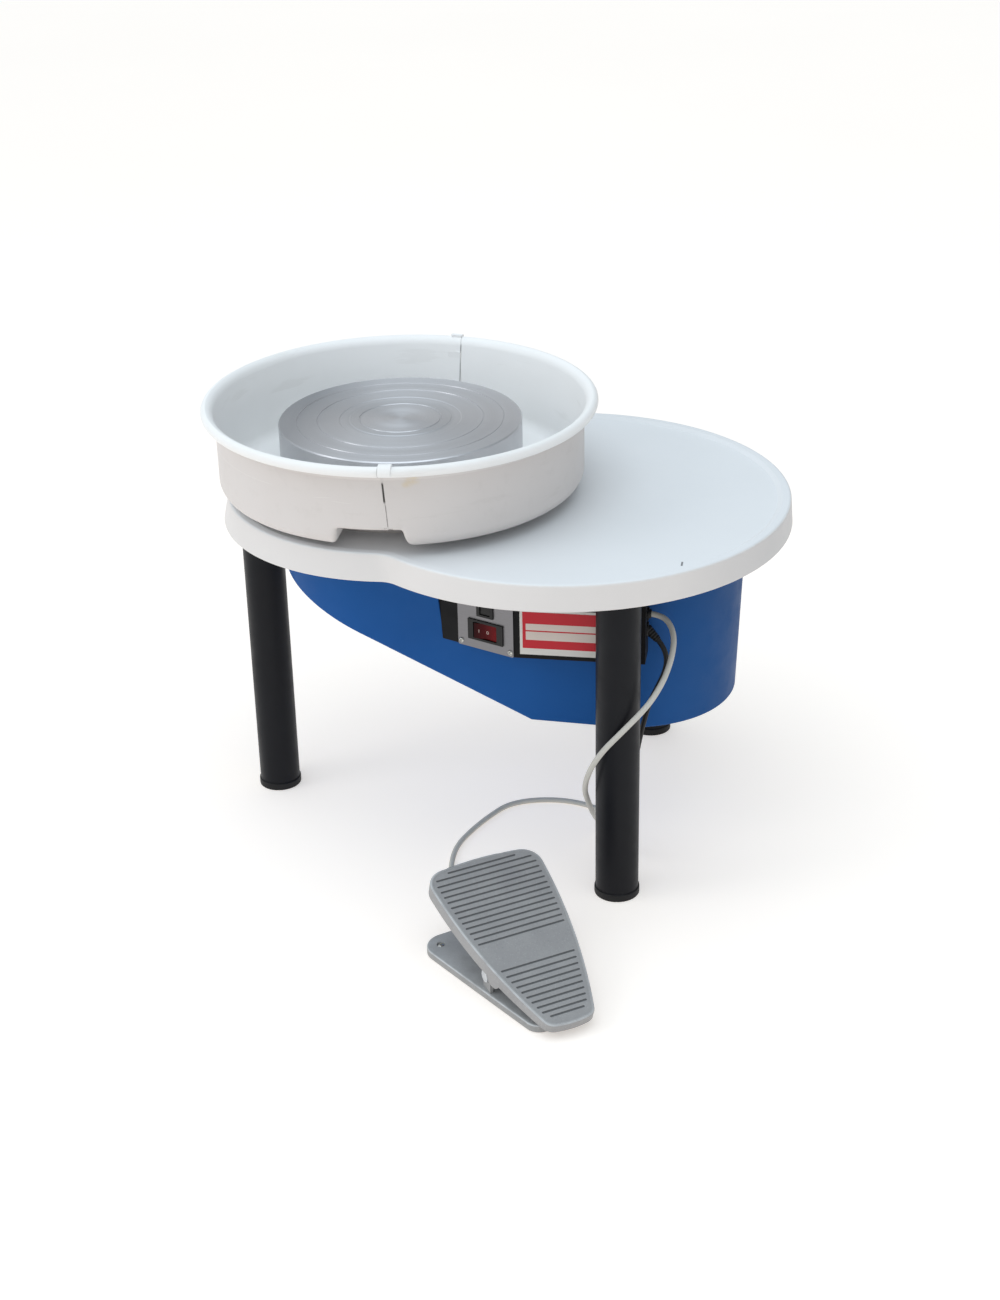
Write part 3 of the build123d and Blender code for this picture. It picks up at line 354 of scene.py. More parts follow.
# ================================================================ materials
def white_plastic(name, a, b, rough, pan=False):
    mt = Mat(name, IOR=1.49, Specular_IOR_Level=0.42)
    base = vary(mt, a, b, 5.0, 0.3, 0.7)
    dust = mt.ramp(mt.noise(55.0, 6.0, 0.65), (0.56, 0.0), (0.74, 1.0))
    base = mt.mix(mt.calc("MULTIPLY", dust, 0.07), base, srgb(150, 143, 132))
    specks = mt.ramp(mt.cells(210.0), (0.0, 1.0), (0.045, 0.0))
    rare = mt.ramp(mt.noise(38.0, 2.0), (0.64, 0.0), (0.68, 1.0))
    base = mt.mix(mt.calc("MULTIPLY", mt.calc("MULTIPLY", specks, rare), 0.4), base, srgb(110, 102, 92))
    if pan:
        # painted light: faces turned inward and up are made whiter than the outer faces, though both are one plastic
        g = mt.new("ShaderNodeNewGeometry")
        rel = mt.new("ShaderNodeVectorMath", operation="SUBTRACT")
        mt.feed(rel.inputs[0], mt.pos)
        rel.inputs[1].default_value = (SX, SY, 0.0)
        flat = mt.new("ShaderNodeVectorMath", operation="MULTIPLY")
        mt.feed(flat.inputs[0], rel.outputs[0])
        flat.inputs[1].default_value = (1.0, 1.0, 0.0)
        out = mt.new("ShaderNodeVectorMath", operation="NORMALIZE")
        mt.feed(out.inputs[0], flat.outputs[0])
        d = mt.new("ShaderNodeVectorMath", operation="DOT_PRODUCT")
        mt.feed(d.inputs[0], g.outputs["Normal"])
        mt.feed(d.inputs[1], out.outputs[0])
        face = mt.calc("SUBTRACT", mt.calc("MULTIPLY", mt.up_facing(), 0.7), d.outputs["Value"])
        inside = mt.ramp(mt.calc("MULTIPLY", mt.calc("ADD", face, 1.2), 0.4), (0.30, 0.0), (0.62, 1.0))
        base = mt.mix(inside, base, vary(mt, srgb(247, 247, 247), srgb(243, 243, 242), 6.0, 0.3, 0.7))
        outside = mt.calc("SUBTRACT", 1.0, inside, clamp=True)
        # painted light: the rolled rim is made as white as the inward faces
        rim = mt.within(mt.part("Z"), 0.5542, 0.5800, 0.0016)
        base = mt.mix(mt.calc("MULTIPLY", rim, 0.9), base, vary(mt, srgb(247, 247, 247), srgb(243, 243, 242), 6.0, 0.3, 0.7))
        front = mt.within(mt.part("Y"), -0.30 + SY, -0.20 + SY, 0.004)
        # pale yellow mark below the rim, beside the joint
        for px, pz, size, amount in ((53.5, 541.5, 0.0082, 0.20), (58.0, 544.4, 0.0088, 0.25), (63.0, 546.0, 0.0072, 0.20), (50.0, 539.0, 0.0055, 0.18), (65.5, 541.0, 0.0050, 0.10)):
            mark = mt.calc("MULTIPLY", mt.near(S(px, -223.0, pz), size), mt.ramp(mt.noise(150.0, 4.0), (0.30, 0.25), (0.62, 1.0)))
            mark = mt.calc("MULTIPLY", mt.ramp(mark, (0.0, 0.0), (0.6, 1.0)), outside)
            base = mt.mix(mt.calc("MULTIPLY", mark, amount), base, srgb(214, 190, 132))
        # long thin scratches on the left of the wall
        for x0, x1, z0, slope, depth in ((-205.0, -120.0, 521.0, 0.012, 0.5), (-56.0, -40.0, 518.0, 0.10, 0.45), (-33.0, -18.0, 515.6, -0.06, 0.5)):
            line = mt.calc("SUBTRACT", mt.calc("SUBTRACT", mt.part("Z"), z0 / 1000), mt.calc("MULTIPLY", mt.calc("SUBTRACT", mt.part("X"), x0 / 1000 + SX), slope))
            cut = mt.calc("MULTIPLY", mt.within(line, -0.0002, 0.0002, 0.0004), mt.within(mt.part("X"), x0 / 1000 + SX, x1 / 1000 + SX, 0.006))
            cut = mt.calc("MULTIPLY", cut, mt.within(mt.part("Y"), -0.30 + SY, -0.10 + SY, 0.004))
            base = mt.mix(mt.calc("MULTIPLY", cut, depth), base, srgb(226, 223, 219))
        # painted shade in the open joint on the front: the faces of the gap and the backing behind it are painted dark;
        # lower down, a fainter broken dark line along the joint
        lean = mt.calc("ADD", mt.part("X"), mt.calc("MULTIPLY", mt.part("Z"), 0.065))
        seam_shade = mt.within(lean, 0.0250 + SX + 0.065 * 0.549 - 0.0017, 0.0250 + SX + 0.065 * 0.549 + 0.0003, 0.0003)
        seam_shade = mt.calc("MULTIPLY", mt.calc("MULTIPLY", seam_shade, front), mt.within(mt.part("Z"), 0.5185, 0.5395, 0.003))
        base = mt.mix(mt.calc("MULTIPLY", seam_shade, 0.93), base, srgb(38, 34, 31))
        low = mt.within(lean, 0.0250 + SX + 0.065 * 0.549 - 0.0006, 0.0250 + SX + 0.065 * 0.549 + 0.0006, 0.0002)
        low = mt.calc("MULTIPLY", mt.calc("MULTIPLY", low, front), mt.within(mt.part("Z"), 0.4868, 0.5185, 0.001))
        low = mt.calc("MULTIPLY", low, mt.ramp(mt.noise(260.0, 2.0), (0.38, 0.25), (0.52, 1.0)))
        base = mt.mix(mt.calc("MULTIPLY", low, 0.35), base, srgb(104, 98, 92))
        # shadow line at the near edge of the rim sleeve
        edge = mt.calc("MULTIPLY", mt.within(mt.part("X"), 0.0227 + SX, 0.0238 + SX, 0.0003), mt.within(mt.part("Z"), 0.5510, 0.5660, 0.002))
        base = mt.mix(mt.calc("MULTIPLY", mt.calc("MULTIPLY", edge, front), 0.5), base, srgb(120, 116, 112))
        # a darker grey line along the rear joint
        rear = mt.within(mt.calc("SUBTRACT", mt.part("X"), mt.calc("MULTIPLY", mt.part("Z"), 0.045)), 0.0366 + SX - 0.045 * 0.537 - 0.0007, 0.0366 + SX - 0.045 * 0.537 + 0.0007, 0.0004)
        rear = mt.calc("MULTIPLY", mt.calc("MULTIPLY", rear, mt.within(mt.part("Y"), 0.20 + SY, 0.229 + SY, 0.001)), mt.within(mt.part("Z"), 0.47, 0.556, 0.004))
        base = mt.mix(mt.calc("MULTIPLY", rear, 0.55), base, srgb(120, 122, 124))
        scuff = mt.ramp(mt.noise(9.0, 5.0, 0.6, vec=mt.stretch((1.0, 1.0, 7.0))), (0.60, 0.0), (0.66, 1.0))
        base = mt.mix(mt.calc("MULTIPLY", scuff, 0.06), base, srgb(150, 143, 132))
    else:
        # painted light and shade: faces turned up are made lighter and cooler, the sides darker and warmer, and the
        # sides darker still towards the far end
        wall = mt.ramp(mt.calc("ABSOLUTE", mt.up_facing()), (0.3, 1.0), (0.6, 0.0))
        deck = mt.ramp(mt.up_facing(), (0.6, 0.0), (0.9, 1.0))
        base = mt.mix(mt.calc("MULTIPLY", deck, 0.85), base, vary(mt, srgb(234, 237, 240), srgb(231, 234, 237), 6.0, 0.3, 0.7))
        base = mt.mix(mt.calc("MULTIPLY", wall, 0.8), base, vary(mt, srgb(226, 222, 220), srgb(222, 218, 216), 6.0, 0.3, 0.7))
        far = mt.calc("DIVIDE", mt.calc("SUBTRACT", mt.part("X"), 0.36 + SX), 0.12, clamp=True)
        base = mt.mix(mt.calc("MULTIPLY", mt.calc("MULTIPLY", wall, far), 0.6), base, srgb(196, 196, 198))
        hair = mt.calc("MULTIPLY", mt.within(mt.part("X"), 0.3689 + SX, 0.3707 + SX, 0.0004), mt.within(mt.part("Y"), -0.2045 + SY, -0.1940 + SY, 0.001))
        base = mt.mix(mt.calc("MULTIPLY", hair, 0.8), base, srgb(60, 60, 66))
    mt.color(base)
    mt.rough(mt.ramp(mt.noise(24.0, 5.0, 0.6), (0.3, rough - 0.05), (0.7, rough + 0.09)))
    h = mt.mix(0.3, mt.noise(850.0, 2.0), mt.noise(120.0, 3.0))
    mt.bump(h, 0.10, 0.0004)
    return mt.mat


def painted(name, a, b, rough, peel=420.0, chips=None, chip_scale=70.0, spread=0.10, spec=0.3, painted_shade=None):
    mt = Mat(name, Specular_IOR_Level=spec)
    base = vary(mt, a, b, 7.0, 0.3, 0.7)
    fine = mt.ramp(mt.noise(160.0, 4.0), (0.4, 0.0), (0.75, 1.0))
    base = mt.mix(mt.calc("MULTIPLY", fine, 0.12), base, b)
    if chips is not None:
        dots = mt.ramp(mt.cells(chip_scale), (0.0, 1.0), (0.055, 1.0), (0.075, 0.0))
        rare = mt.ramp(mt.noise(chip_scale * 0.3, 2.0), (0.69, 0.0), (0.71, 1.0))
        base = mt.mix(mt.calc("MULTIPLY", dots, rare), base, chips)
    if painted_shade is not None:
        # painted shade: darker towards one end
        x0, x1, tone = painted_shade
        far = mt.calc("DIVIDE", mt.calc("SUBTRACT", mt.part("X"), x0), x1 - x0, clamp=True)
        base = mt.mix(mt.calc("MULTIPLY", far, 0.8), base, tone)
    mt.color(base)
    mt.rough(mt.ramp(mt.noise(35.0, 4.0, 0.6), (0.3, rough - spread / 2), (0.7, rough + spread)))
    mt.bump(mt.noise(peel, 2.0), 0.16, 0.0005)
    return mt.mat


def metal(name, a, b, rough, grain=(1.0, 1.0, 1.0), scale=180.0, bump=0.05):
    mt = Mat(name, Metallic=1.0)
    g = mt.noise(scale, 4.0, 0.6, vec=mt.stretch(grain))
    mt.color(mt.mix(mt.ramp(g, (0.3, 0.0), (0.7, 1.0)), a, b))
    mt.rough(mt.ramp(g, (0.3, rough - 0.06), (0.7, rough + 0.08)))
    mt.bump(g, bump, 0.0003)
    return mt.mat


def moulded(name, a, b, rough, grain=520.0, bump=0.15, wide=9.0, spec=0.35):
    mt = Mat(name, Specular_IOR_Level=spec)
    base = vary(mt, a, b, wide, 0.3, 0.7)
    fine = mt.ramp(mt.noise(grain * 0.5, 3.0), (0.35, 0.0), (0.7, 1.0))
    mt.color(mt.mix(mt.calc("MULTIPLY", fine, 0.25), base, b))
    mt.rough(mt.ramp(mt.noise(40.0, 4.0), (0.3, rough - 0.05), (0.7, rough + 0.08)))
    mt.bump(mt.noise(grain, 2.0), bump, 0.0004)
    return mt.mat


M = {}
M["table_plastic"] = white_plastic("table_plastic", srgb(231, 229, 228), srgb(227, 225, 224), 0.42)
M["pan_plastic"] = white_plastic("pan_plastic", srgb(218, 213, 211), srgb(214, 208, 205), 0.44, pan=True)
M["leg_paint"] = painted("leg_paint", srgb(15, 17, 23), srgb(12, 13, 19), 0.40, 260.0, srgb(46, 46, 50), 60.0, spec=0.2)
M["black_steel"] = painted("black_steel", srgb(26, 26, 28), srgb(21, 21, 23), 0.48)
M["blue_paint"] = painted("blue_paint", srgb(26, 89, 160), srgb(22, 82, 150), 0.5, 380.0, srgb(150, 164, 184), 46.0, spec=0.14, painted_shade=(0.27 + SX, 0.44 + SX, srgb(24, 72, 124)))
M["box_paint"] = painted("box_paint", srgb(14, 14, 16), srgb(11, 11, 13), 0.5, spec=0.18)
M["motor_paint"] = painted("motor_paint", srgb(36, 36, 39), srgb(30, 30, 32), 0.5)
M["cast_black"] = painted("cast_black", srgb(42, 42, 44), srgb(34, 34, 36), 0.62, 150.0)
M["foot_rubber"] = moulded("foot_rubber", srgb(20, 20, 22), srgb(16, 16, 18), 0.6)
M["belt_rubber"] = moulded("belt_rubber", srgb(22, 22, 23), srgb(18, 18, 19), 0.7)
M["gland_black"] = moulded("gland_black", srgb(20, 20, 22), srgb(16, 16, 18), 0.5)
M["switch_black"] = moulded("switch_black", srgb(19, 19, 20), srgb(15, 15, 16), 0.42)
M["rocker_black"] = moulded("rocker_black", srgb(22, 22, 23), srgb(18, 18, 19), 0.38)
M["board_green"] = moulded("board_green", srgb(30, 92, 52), srgb(24, 78, 44), 0.4)
M["plug_black"] = moulded("plug_black", srgb(24, 24, 26), srgb(19, 19, 21), 0.48)
M["cord_black"] = moulded("cord_black", srgb(20, 20, 22), srgb(16, 16, 18), 0.46, 700.0)
M["cord_grey"] = moulded("cord_grey", srgb(203, 201, 195), srgb(194, 192, 185), 0.48, 700.0)
M["tie_black"] = moulded("tie_black", srgb(24, 24, 25), srgb(17, 17, 18), 0.8, 900.0, 0.5)
M["zinc_screw"] = metal("zinc_screw", srgb(206, 205, 200), srgb(184, 183, 178), 0.26)
M["black_screw"] = painted("black_screw", srgb(30, 30, 31), srgb(24, 24, 25), 0.4)
M["shaft_steel"] = metal("shaft_steel", srgb(214, 218, 222), srgb(198, 202, 206), 0.36, (1, 1, 6))
M["bearing_steel"] = metal("bearing_steel", srgb(205, 206, 208), srgb(190, 191, 193), 0.2)
M["magnet_metal"] = metal("magnet_metal", srgb(200, 200, 202), srgb(185, 185, 188), 0.22)
M["pulley_aluminium"] = metal("pulley_aluminium", srgb(196, 197, 199), srgb(180, 181, 184), 0.34)
M["label_white"] = moulded("label_white", srgb(226, 224, 220), srgb(218, 216, 211), 0.45)
M["label_red"] = moulded("label_red", srgb(206, 44, 56), srgb(196, 39, 51), 0.42, spec=0.25)
M["label_pale"] = moulded("label_pale", srgb(224, 212, 204), srgb(216, 203, 195), 0.45)
M["mark_pale"] = moulded("mark_pale", srgb(196, 176, 170), srgb(186, 165, 158), 0.5)

# tread plane of the pedal as it stands
TO = Vector((141.494, -320.711, 101.618))
TA = Vector((-0.545690, 0.776840, 0.314250)).normalized()
TW = Vector((-0.818289, -0.574806, 0.0)).normalized()
TN = TA.cross(TW).normalized()


def pedal_cast(name, a, b, grooved=None):
    """Grey hammered coating with light specks; painted shade darkens the grooves of the tread, and painted highlights
    lighten the rounded edges of the tread and the base plate.
    """
    mt = Mat(name, Specular_IOR_Level=0.4)
    base = vary(mt, a, b, 26.0, 0.3, 0.7)
    spots = mt.ramp(mt.cells(330.0), (0.0, 1.0), (0.30, 0.0))
    base = mt.mix(mt.calc("MULTIPLY", spots, 0.30), base, srgb(206, 209, 211))
    dark = mt.ramp(mt.noise(420.0, 3.0, 0.6), (0.52, 0.0), (0.72, 1.0))
    base = mt.mix(mt.calc("MULTIPLY", dark, 0.30), base, srgb(128, 131, 133))
    if grooved == "plate":
        # painted highlight along the top edge of the base plate
        edge_highlight = mt.within(mt.part("Z"), 0.0088, 0.0097, 0.0005)
        base = mt.mix(mt.calc("MULTIPLY", edge_highlight, mt.ramp(mt.noise(60.0, 4.0), (0.3, 0.35), (0.6, 0.8))), base, srgb(212, 215, 217))
    elif grooved:
        h = mt.along_dir(tuple(S(*TO)), tuple(TN))
        if grooved == "floor":
            # painted highlight along the rounded edge of the tread's border
            edge_highlight = mt.within(h, -0.0010, -0.00025, 0.0003)
            base = mt.mix(mt.calc("MULTIPLY", edge_highlight, mt.ramp(mt.noise(60.0, 4.0), (0.3, 0.35), (0.6, 0.8))), base, srgb(212, 215, 217))
        # painted shade in the grooves of the tread
        groove_shade = mt.within(h, -0.0030, -0.00075, 0.00045)
        if grooved == "floor":
            g = mt.new("ShaderNodeNewGeometry")
            d = mt.new("ShaderNodeVectorMath", operation="DOT_PRODUCT")
            mt.feed(d.inputs[0], g.outputs["Normal"])
            d.inputs[1].default_value = tuple(TN)
            groove_shade = mt.calc("MULTIPLY", groove_shade, mt.calc("GREATER_THAN", d.outputs["Value"], 0.75))
        base = mt.mix(mt.calc("MULTIPLY", groove_shade, 0.75), base, srgb(62, 65, 67))
    mt.color(base)
    mt.rough(mt.ramp(mt.noise(40.0, 4.0), (0.3, 0.46), (0.7, 0.58)))
    mt.bump(mt.mix(0.5, mt.noise(300.0, 2.0), mt.cells(330.0)), 0.22, 0.0004)
    return mt.mat


M["pedal_grey"] = pedal_cast("pedal_grey", srgb(164, 163, 163), srgb(154, 153, 154), "floor")
M["pedal_ribs"] = pedal_cast("pedal_ribs", srgb(164, 163, 163), srgb(154, 153, 154), "ribs")
M["pedal_base_grey"] = pedal_cast("pedal_base_grey", srgb(160, 160, 160), srgb(151, 151, 151), "plate")


def head_metal():
    """Turned aluminium: fine rings about the spindle, and bands where the tool passed at another feed."""
    mt = Mat("head_aluminium", Metallic=1.0, Anisotropic=0.75, Anisotropic_Rotation=0.25)
    r = mt.axis_radius(SX, SY)
    cv = mt.new("ShaderNodeCombineXYZ")
    mt.feed(cv.inputs[0], r)
    ring = mt.noise(900.0, 3.0, 0.6, vec=cv.outputs[0])
    band = mt.noise(55.0, 2.0, 0.5, vec=cv.outputs[0])
    wear = mt.noise(18.0, 5.0, 0.6)
    base = mt.mix(mt.ramp(band, (0.35, 0.0), (0.65, 1.0)), srgb(206, 206, 209), srgb(214, 214, 217))
    base = mt.mix(mt.calc("MULTIPLY", mt.ramp(ring, (0.3, 0.0), (0.7, 1.0)), 0.25), base, srgb(186, 186, 190))
    base = mt.mix(mt.calc("MULTIPLY", mt.ramp(wear, (0.5, 0.0), (0.8, 1.0)), 0.20), base, srgb(186, 186, 189))
    # painted shade: the top is darkened towards its low-X side; the ring round the middle is a duller tone
    painted_shade = mt.ramp(mt.calc("MULTIPLY", mt.calc("ADD", mt.part("X"), 0.155 - SX), 8.0), (0.22, 1.0), (0.50, 0.45), (0.86, 0.0))
    top = mt.ramp(mt.up_facing(), (0.5, 0.0), (0.9, 1.0))
    base = mt.mix(mt.calc("MULTIPLY", painted_shade, top), base, srgb(170, 172, 177))
    base = mt.mix(mt.calc("MULTIPLY", mt.within(r, 0.051, 0.066, 0.004), 0.5), base, srgb(192, 193, 196))
    mt.color(base)
    mt.rough(mt.calc("ADD", mt.ramp(band, (0.3, 0.24), (0.7, 0.36)), mt.calc("MULTIPLY", wear, 0.12)))
    mt.bump(ring, 0.10, 0.0003)
    tg = mt.new("ShaderNodeTangent", direction_type="RADIAL", axis="Z")
    mt.feed(mt.bsdf.inputs["Tangent"], tg.outputs[0])
    return mt.mat


def plate_metal():
    """Satin sheet with a grain that runs sideways."""
    mt = Mat("plate_metal", Metallic=1.0)
    g = mt.noise(120.0, 4.0, 0.65, vec=mt.stretch((1.0, 1.0, 14.0)))
    w = mt.noise(16.0, 4.0)
    base = mt.mix(mt.ramp(g, (0.3, 0.0), (0.7, 1.0)), srgb(124, 123, 126), srgb(137, 136, 139))
    mt.color(mt.mix(mt.calc("MULTIPLY", w, 0.3), base, srgb(120, 118, 119)))
    mt.rough(mt.ramp(g, (0.3, 0.34), (0.7, 0.48)))
    mt.bump(g, 0.06, 0.0003)
    return mt.mat


def rocker_red():
    """Translucent red plastic, with painted shade and light: dark on one side, bright on the other."""
    mt = Mat("rocker_red", IOR=1.5, Specular_IOR_Level=0.10)
    # painted shade and light: a ramp from dark to bright across the rocker
    side = mt.ramp(mt.calc("MULTIPLY", mt.calc("SUBTRACT", mt.part("X"), -0.0065), 34.0), (0.0, srgb(42, 6, 10)), (0.5, srgb(85, 8, 14)), (1.0, srgb(124, 13, 19)))
    mt.color(mt.mix(mt.ramp(mt.noise(90.0, 3.0), (0.3, 0.0), (0.7, 0.35)), side, srgb(70, 8, 13)))
    mt.rough(mt.ramp(mt.noise(150.0, 3.0), (0.3, 0.2), (0.7, 0.32)))
    mt.bump(mt.noise(500.0, 2.0), 0.05, 0.0003)
    return mt.mat


M["head_aluminium"] = head_metal()
M["plate_metal"] = plate_metal()
M["rocker_red"] = rocker_red()

for sub in frame["record"]["subparts"]:
    o = NODES[sub["node"]]
    mat = M[sub["material_slot"]]
    if not o.data.materials:
        o.data.materials.append(mat)
    for i in range(len(o.material_slots)):
        o.material_slots[i].material = mat


def dress(o, body, slot, mat=None, *replaced):
    o.data.materials.append(M[mat or slot])
    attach(o, body)
    if replaced:
        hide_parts(*replaced)
    return o


# ================================================================ strain reliefs
def ribbed(length, r0, r1, ribs, depth, start=0.0):
    """Profile of a tapered sleeve with ring grooves."""
    out = []
    pitch = length / ribs
    for i in range(ribs):
        a = start + i * pitch
        for t, d in ((0.0, depth), (0.14, 0.25 * depth), (0.26, 0.0), (0.62, 0.0), (0.74, 0.25 * depth), (0.86, depth)):
            h = a + t * pitch
            out.append((r0 + (r1 - r0) * (h - start) / length - d, h))
    return out


dr = Vector((0.70, -0.10, -0.70)).normalized()
g0 = Vector((325.4, -151.0, 335.6))
g1 = g0 + dr * 20.0
bm = bmesh.new()
lathe(bm, along(S(*g0), S(*g1)), [(0, 0.6), (6.2, 0.6)] + ribbed(17.6, 6.3, 4.6, 5, 0.7, 1.2) + [(4.4, 19.2), (4.1, 19.9), (3.3, 20.0), (0, 20.0)])
lathe(bm, along(S(326.0, -151.2, 334.4), S(330.0, -151.2, 334.4)), [(0, 0.0), (9.0, 0.0), (9.0, 1.3), (8.7, 1.8), (8.1, 2.0), (0, 2.0)])
lathe(bm, along(S(321.0, -151.2, 334.4), S(330.0, -151.2, 334.4)), [(0, 0.0), (4.5, 0.0), (4.5, 5.4), (0, 5.4)])
power_relief = dress(link("mains_relief", bm), "frame", "gland_black", None, "power_cord_relief")

PED_O = Vector((141.494, -320.711, 0.0))
PED_U = Vector((-0.574806, 0.818289, 0.0))
PED_W = Vector((-0.818289, -0.574806, 0.0))


def pedal_base_pt(u, w, z):
    p = PED_O + PED_U * u + PED_W * w
    return S(p.x, p.y, z)


bm = bmesh.new()
lathe(bm, along(pedal_base_pt(-13.5, 0, 12.0), pedal_base_pt(27.0, 0, 12.0)),
      [(0, 0), (5.0, 0), (5.0, 15.2), (7.2, 15.3), (7.2, 16.6)] + ribbed(21.5, 7.0, 4.8, 6, 0.9, 17.2) + [(4.7, 39.0), (4.5, 40.2), (3.6, 40.5), (0, 40.5)])
pedal_relief = dress(link("pedal_relief", bm), "frame", "gland_black", None, "pedal_cord_relief")

# ================================================================ plug and tie
PY = COIL_Y + 41.25
bm = bmesh.new()
lathe(bm, along(S(204.0, PY, 18.0), S(138.0, PY, 18.0)),
      [(0, 0), (3.4, 0), (4.4, 0.4)] + ribbed(17.0, 4.7, 7.2, 5, 0.8, 1.0) +
      [(7.4, 18.6), (7.8, 20.0), (9.0, 23.0), (11.6, 26.5), (14.6, 29.6), (16.2, 31.4), (17.0, 32.4), (17.45, 33.6), (17.45, 38.2), (16.9, 38.9),
       (16.9, 40.1), (17.45, 40.8), (17.45, 46.6), (17.0, 47.6), (16.0, 48.0), (0, 48.0)], 56)
for s in (-1, 1):
    lathe(bm, along(S(157.0, PY + s * 9.5, 18.0), S(138.0, PY + s * 9.5, 18.0)), [(0, 0), (2.4, 0), (2.4, 8.5), (2.3, 8.9), (0, 8.9)], 24)
plug = dress(link("mains_plug", bm), "frame", "plug_black", None, "power_plug")
bm = bmesh.new()
for s in (-1, 1):
    lathe(bm, along(S(150.0, PY + s * 9.5, 18.0), S(138.0, PY + s * 9.5, 18.0)), [(0, 0), (2.35, 0), (2.35, 10.6), (2.0, 11.5), (1.2, 12.0), (0, 12.0)], 24)
pins = dress(link("mains_plug_pins", bm), "frame", "zinc_screw")

bm = bmesh.new()
ct, st_ = math.cos(math.radians(215)), math.sin(math.radians(215))
tie_m = frame_matrix(S(COIL_X, COIL_Y, 0.0), (ct, st_, 0), (0, 0, 1), (st_, -ct, 0))
outer = rounded_rect(27.6, 46.5, 0.0, 21.9, 5.0, 6)
inner = rounded_rect(28.6, 45.5, 1.0, 20.9, 4.0, 6)
cols = []
for h, d in ((-7.0, 0.25), (-6.7, 0.0), (6.7, 0.0), (7.0, 0.25)):
    shrink = lambda p, k: (p[0] + (37.05 - p[0]) * k / 10, p[1] + (10.95 - p[1]) * k / 10)
    cols.append(([bm.verts.new(tie_m @ Vector((shrink(p, d)[0] / 1000, shrink(p, d)[1] / 1000, h / 1000))) for p in outer],
                 [bm.verts.new(tie_m @ Vector((p[0] / 1000, p[1] / 1000, h / 1000))) for p in inner]))
n = len(outer)
for (oa, ia), (ob, ib) in zip(cols, cols[1:]):
    for i in range(n):
        j = (i + 1) % n
        bm.faces.new((oa[i], oa[j], ob[j], ob[i]))
        bm.faces.new((ia[i], ib[i], ib[j], ia[j]))
for (oa, ia), flip in ((cols[0], False), (cols[-1], True)):
    for i in range(n):
        j = (i + 1) % n
        bm.faces.new((oa[i], ia[i], ia[j], oa[j]) if not flip else (oa[i], oa[j], ia[j], ia[i]))
# the free end of the strap, lying on its own top
plate(bm, frame_matrix(tie_m @ Vector((0.0, 0.0219, 0.0)), tie_m.to_3x3() @ Vector((1, 0, 0)), tie_m.to_3x3() @ Vector((0, 0, 1)), (0, 0, 1)),
      rounded_rect(31.0, 45.0, -6.6, 6.6, 1.5, 3), -0.3, 0.7, 0.3)
tie = dress(link("lead_tie", bm), "frame", "tie_black", None, "coil_tie")

# ================================================================ cords, in place of the CAD cords
dress(pedal_cord, "frame", "cord_grey", None, "pedal_cord")
dress(power_cord, "frame", "cord_black", None, "power_cord", "power_cord_coil")

# ================================================================ pedal tread
tread_m = frame_matrix(S(*TO), TA, TW, TN)


def circle3(p, q, r):
    ax, ay, bx, by, cx, cy = *p, *q, *r
    d = 2 * (ax * (by - cy) + bx * (cy - ay) + cx * (ay - by))
    ux = ((ax * ax + ay * ay) * (by - cy) + (bx * bx + by * by) * (cy - ay) + (cx * cx + cy * cy) * (ay - by)) / d
    uy = ((ax * ax + ay * ay) * (cx - bx) + (bx * bx + by * by) * (ax - cx) + (cx * cx + cy * cy) * (bx - ax)) / d
    return ux, uy, math.hypot(ax - ux, ay - uy)


HEEL = circle3((-7.0, -73.8), (0.0, 0.0), (-7.0, 73.8))
SIDE = circle3((-7.0, 73.8), (-130.0, 62.6), (-255.0, 29.7))
TOE = circle3((-255.0, 29.7), (-259.0, 0.0), (-255.0, -29.7))


def fillet_circle(end, r, off, toward):
    """Middle of the corner's round between an end arc and the side arc."""
    a, b, ra, rb = end, SIDE, end[2] - off - r, SIDE[2] - off - r
    dx, dy = b[0] - a[0], b[1] - a[1]
    d = math.hypot(dx, dy)
    k = (ra * ra - rb * rb + d * d) / (2 * d)
    h = math.sqrt(max(0.0, ra * ra - k * k))
    hits = [(a[0] + k * dx / d - s * h * dy / d, a[1] + k * dy / d + s * h * dx / d) for s in (-1, 1)]
    return min(hits, key=lambda p: abs(p[0] - toward[0]) + abs(p[1] - toward[1]))


def half_width(u, off):
    """Half the tread's width at u, measured to its outline moved in by off."""
    w = SIDE[1] + math.sqrt(max(0.0, (SIDE[2] - off) ** 2 - (u - SIDE[0]) ** 2))
    for end, r, corner, sign in ((HEEL, 25.0, (-25.0, 50.0), 1), (TOE, 16.0, (-240.0, 15.0), -1)):
        rr = max(1.0, r - off)
        c = fillet_circle(end, rr, off, corner)
        k = (c[0] - SIDE[0], c[1] - SIDE[1])
        kl = math.hypot(*k)
        if sign * (u - (c[0] + k[0] / kl * rr)) > 0:
            q = rr * rr - (u - c[0]) ** 2
            e = (c[0] - end[0], c[1] - end[1])
            el = math.hypot(*e)
            if sign * (u - (c[0] + e[0] / el * rr)) > 0:
                q2 = (end[2] - off) ** 2 - (u - end[0]) ** 2
                w = min(w, math.sqrt(q2) if q2 > 0 else 0.0)
            else:
                w = min(w, c[1] + math.sqrt(max(0.0, q)))
    return w


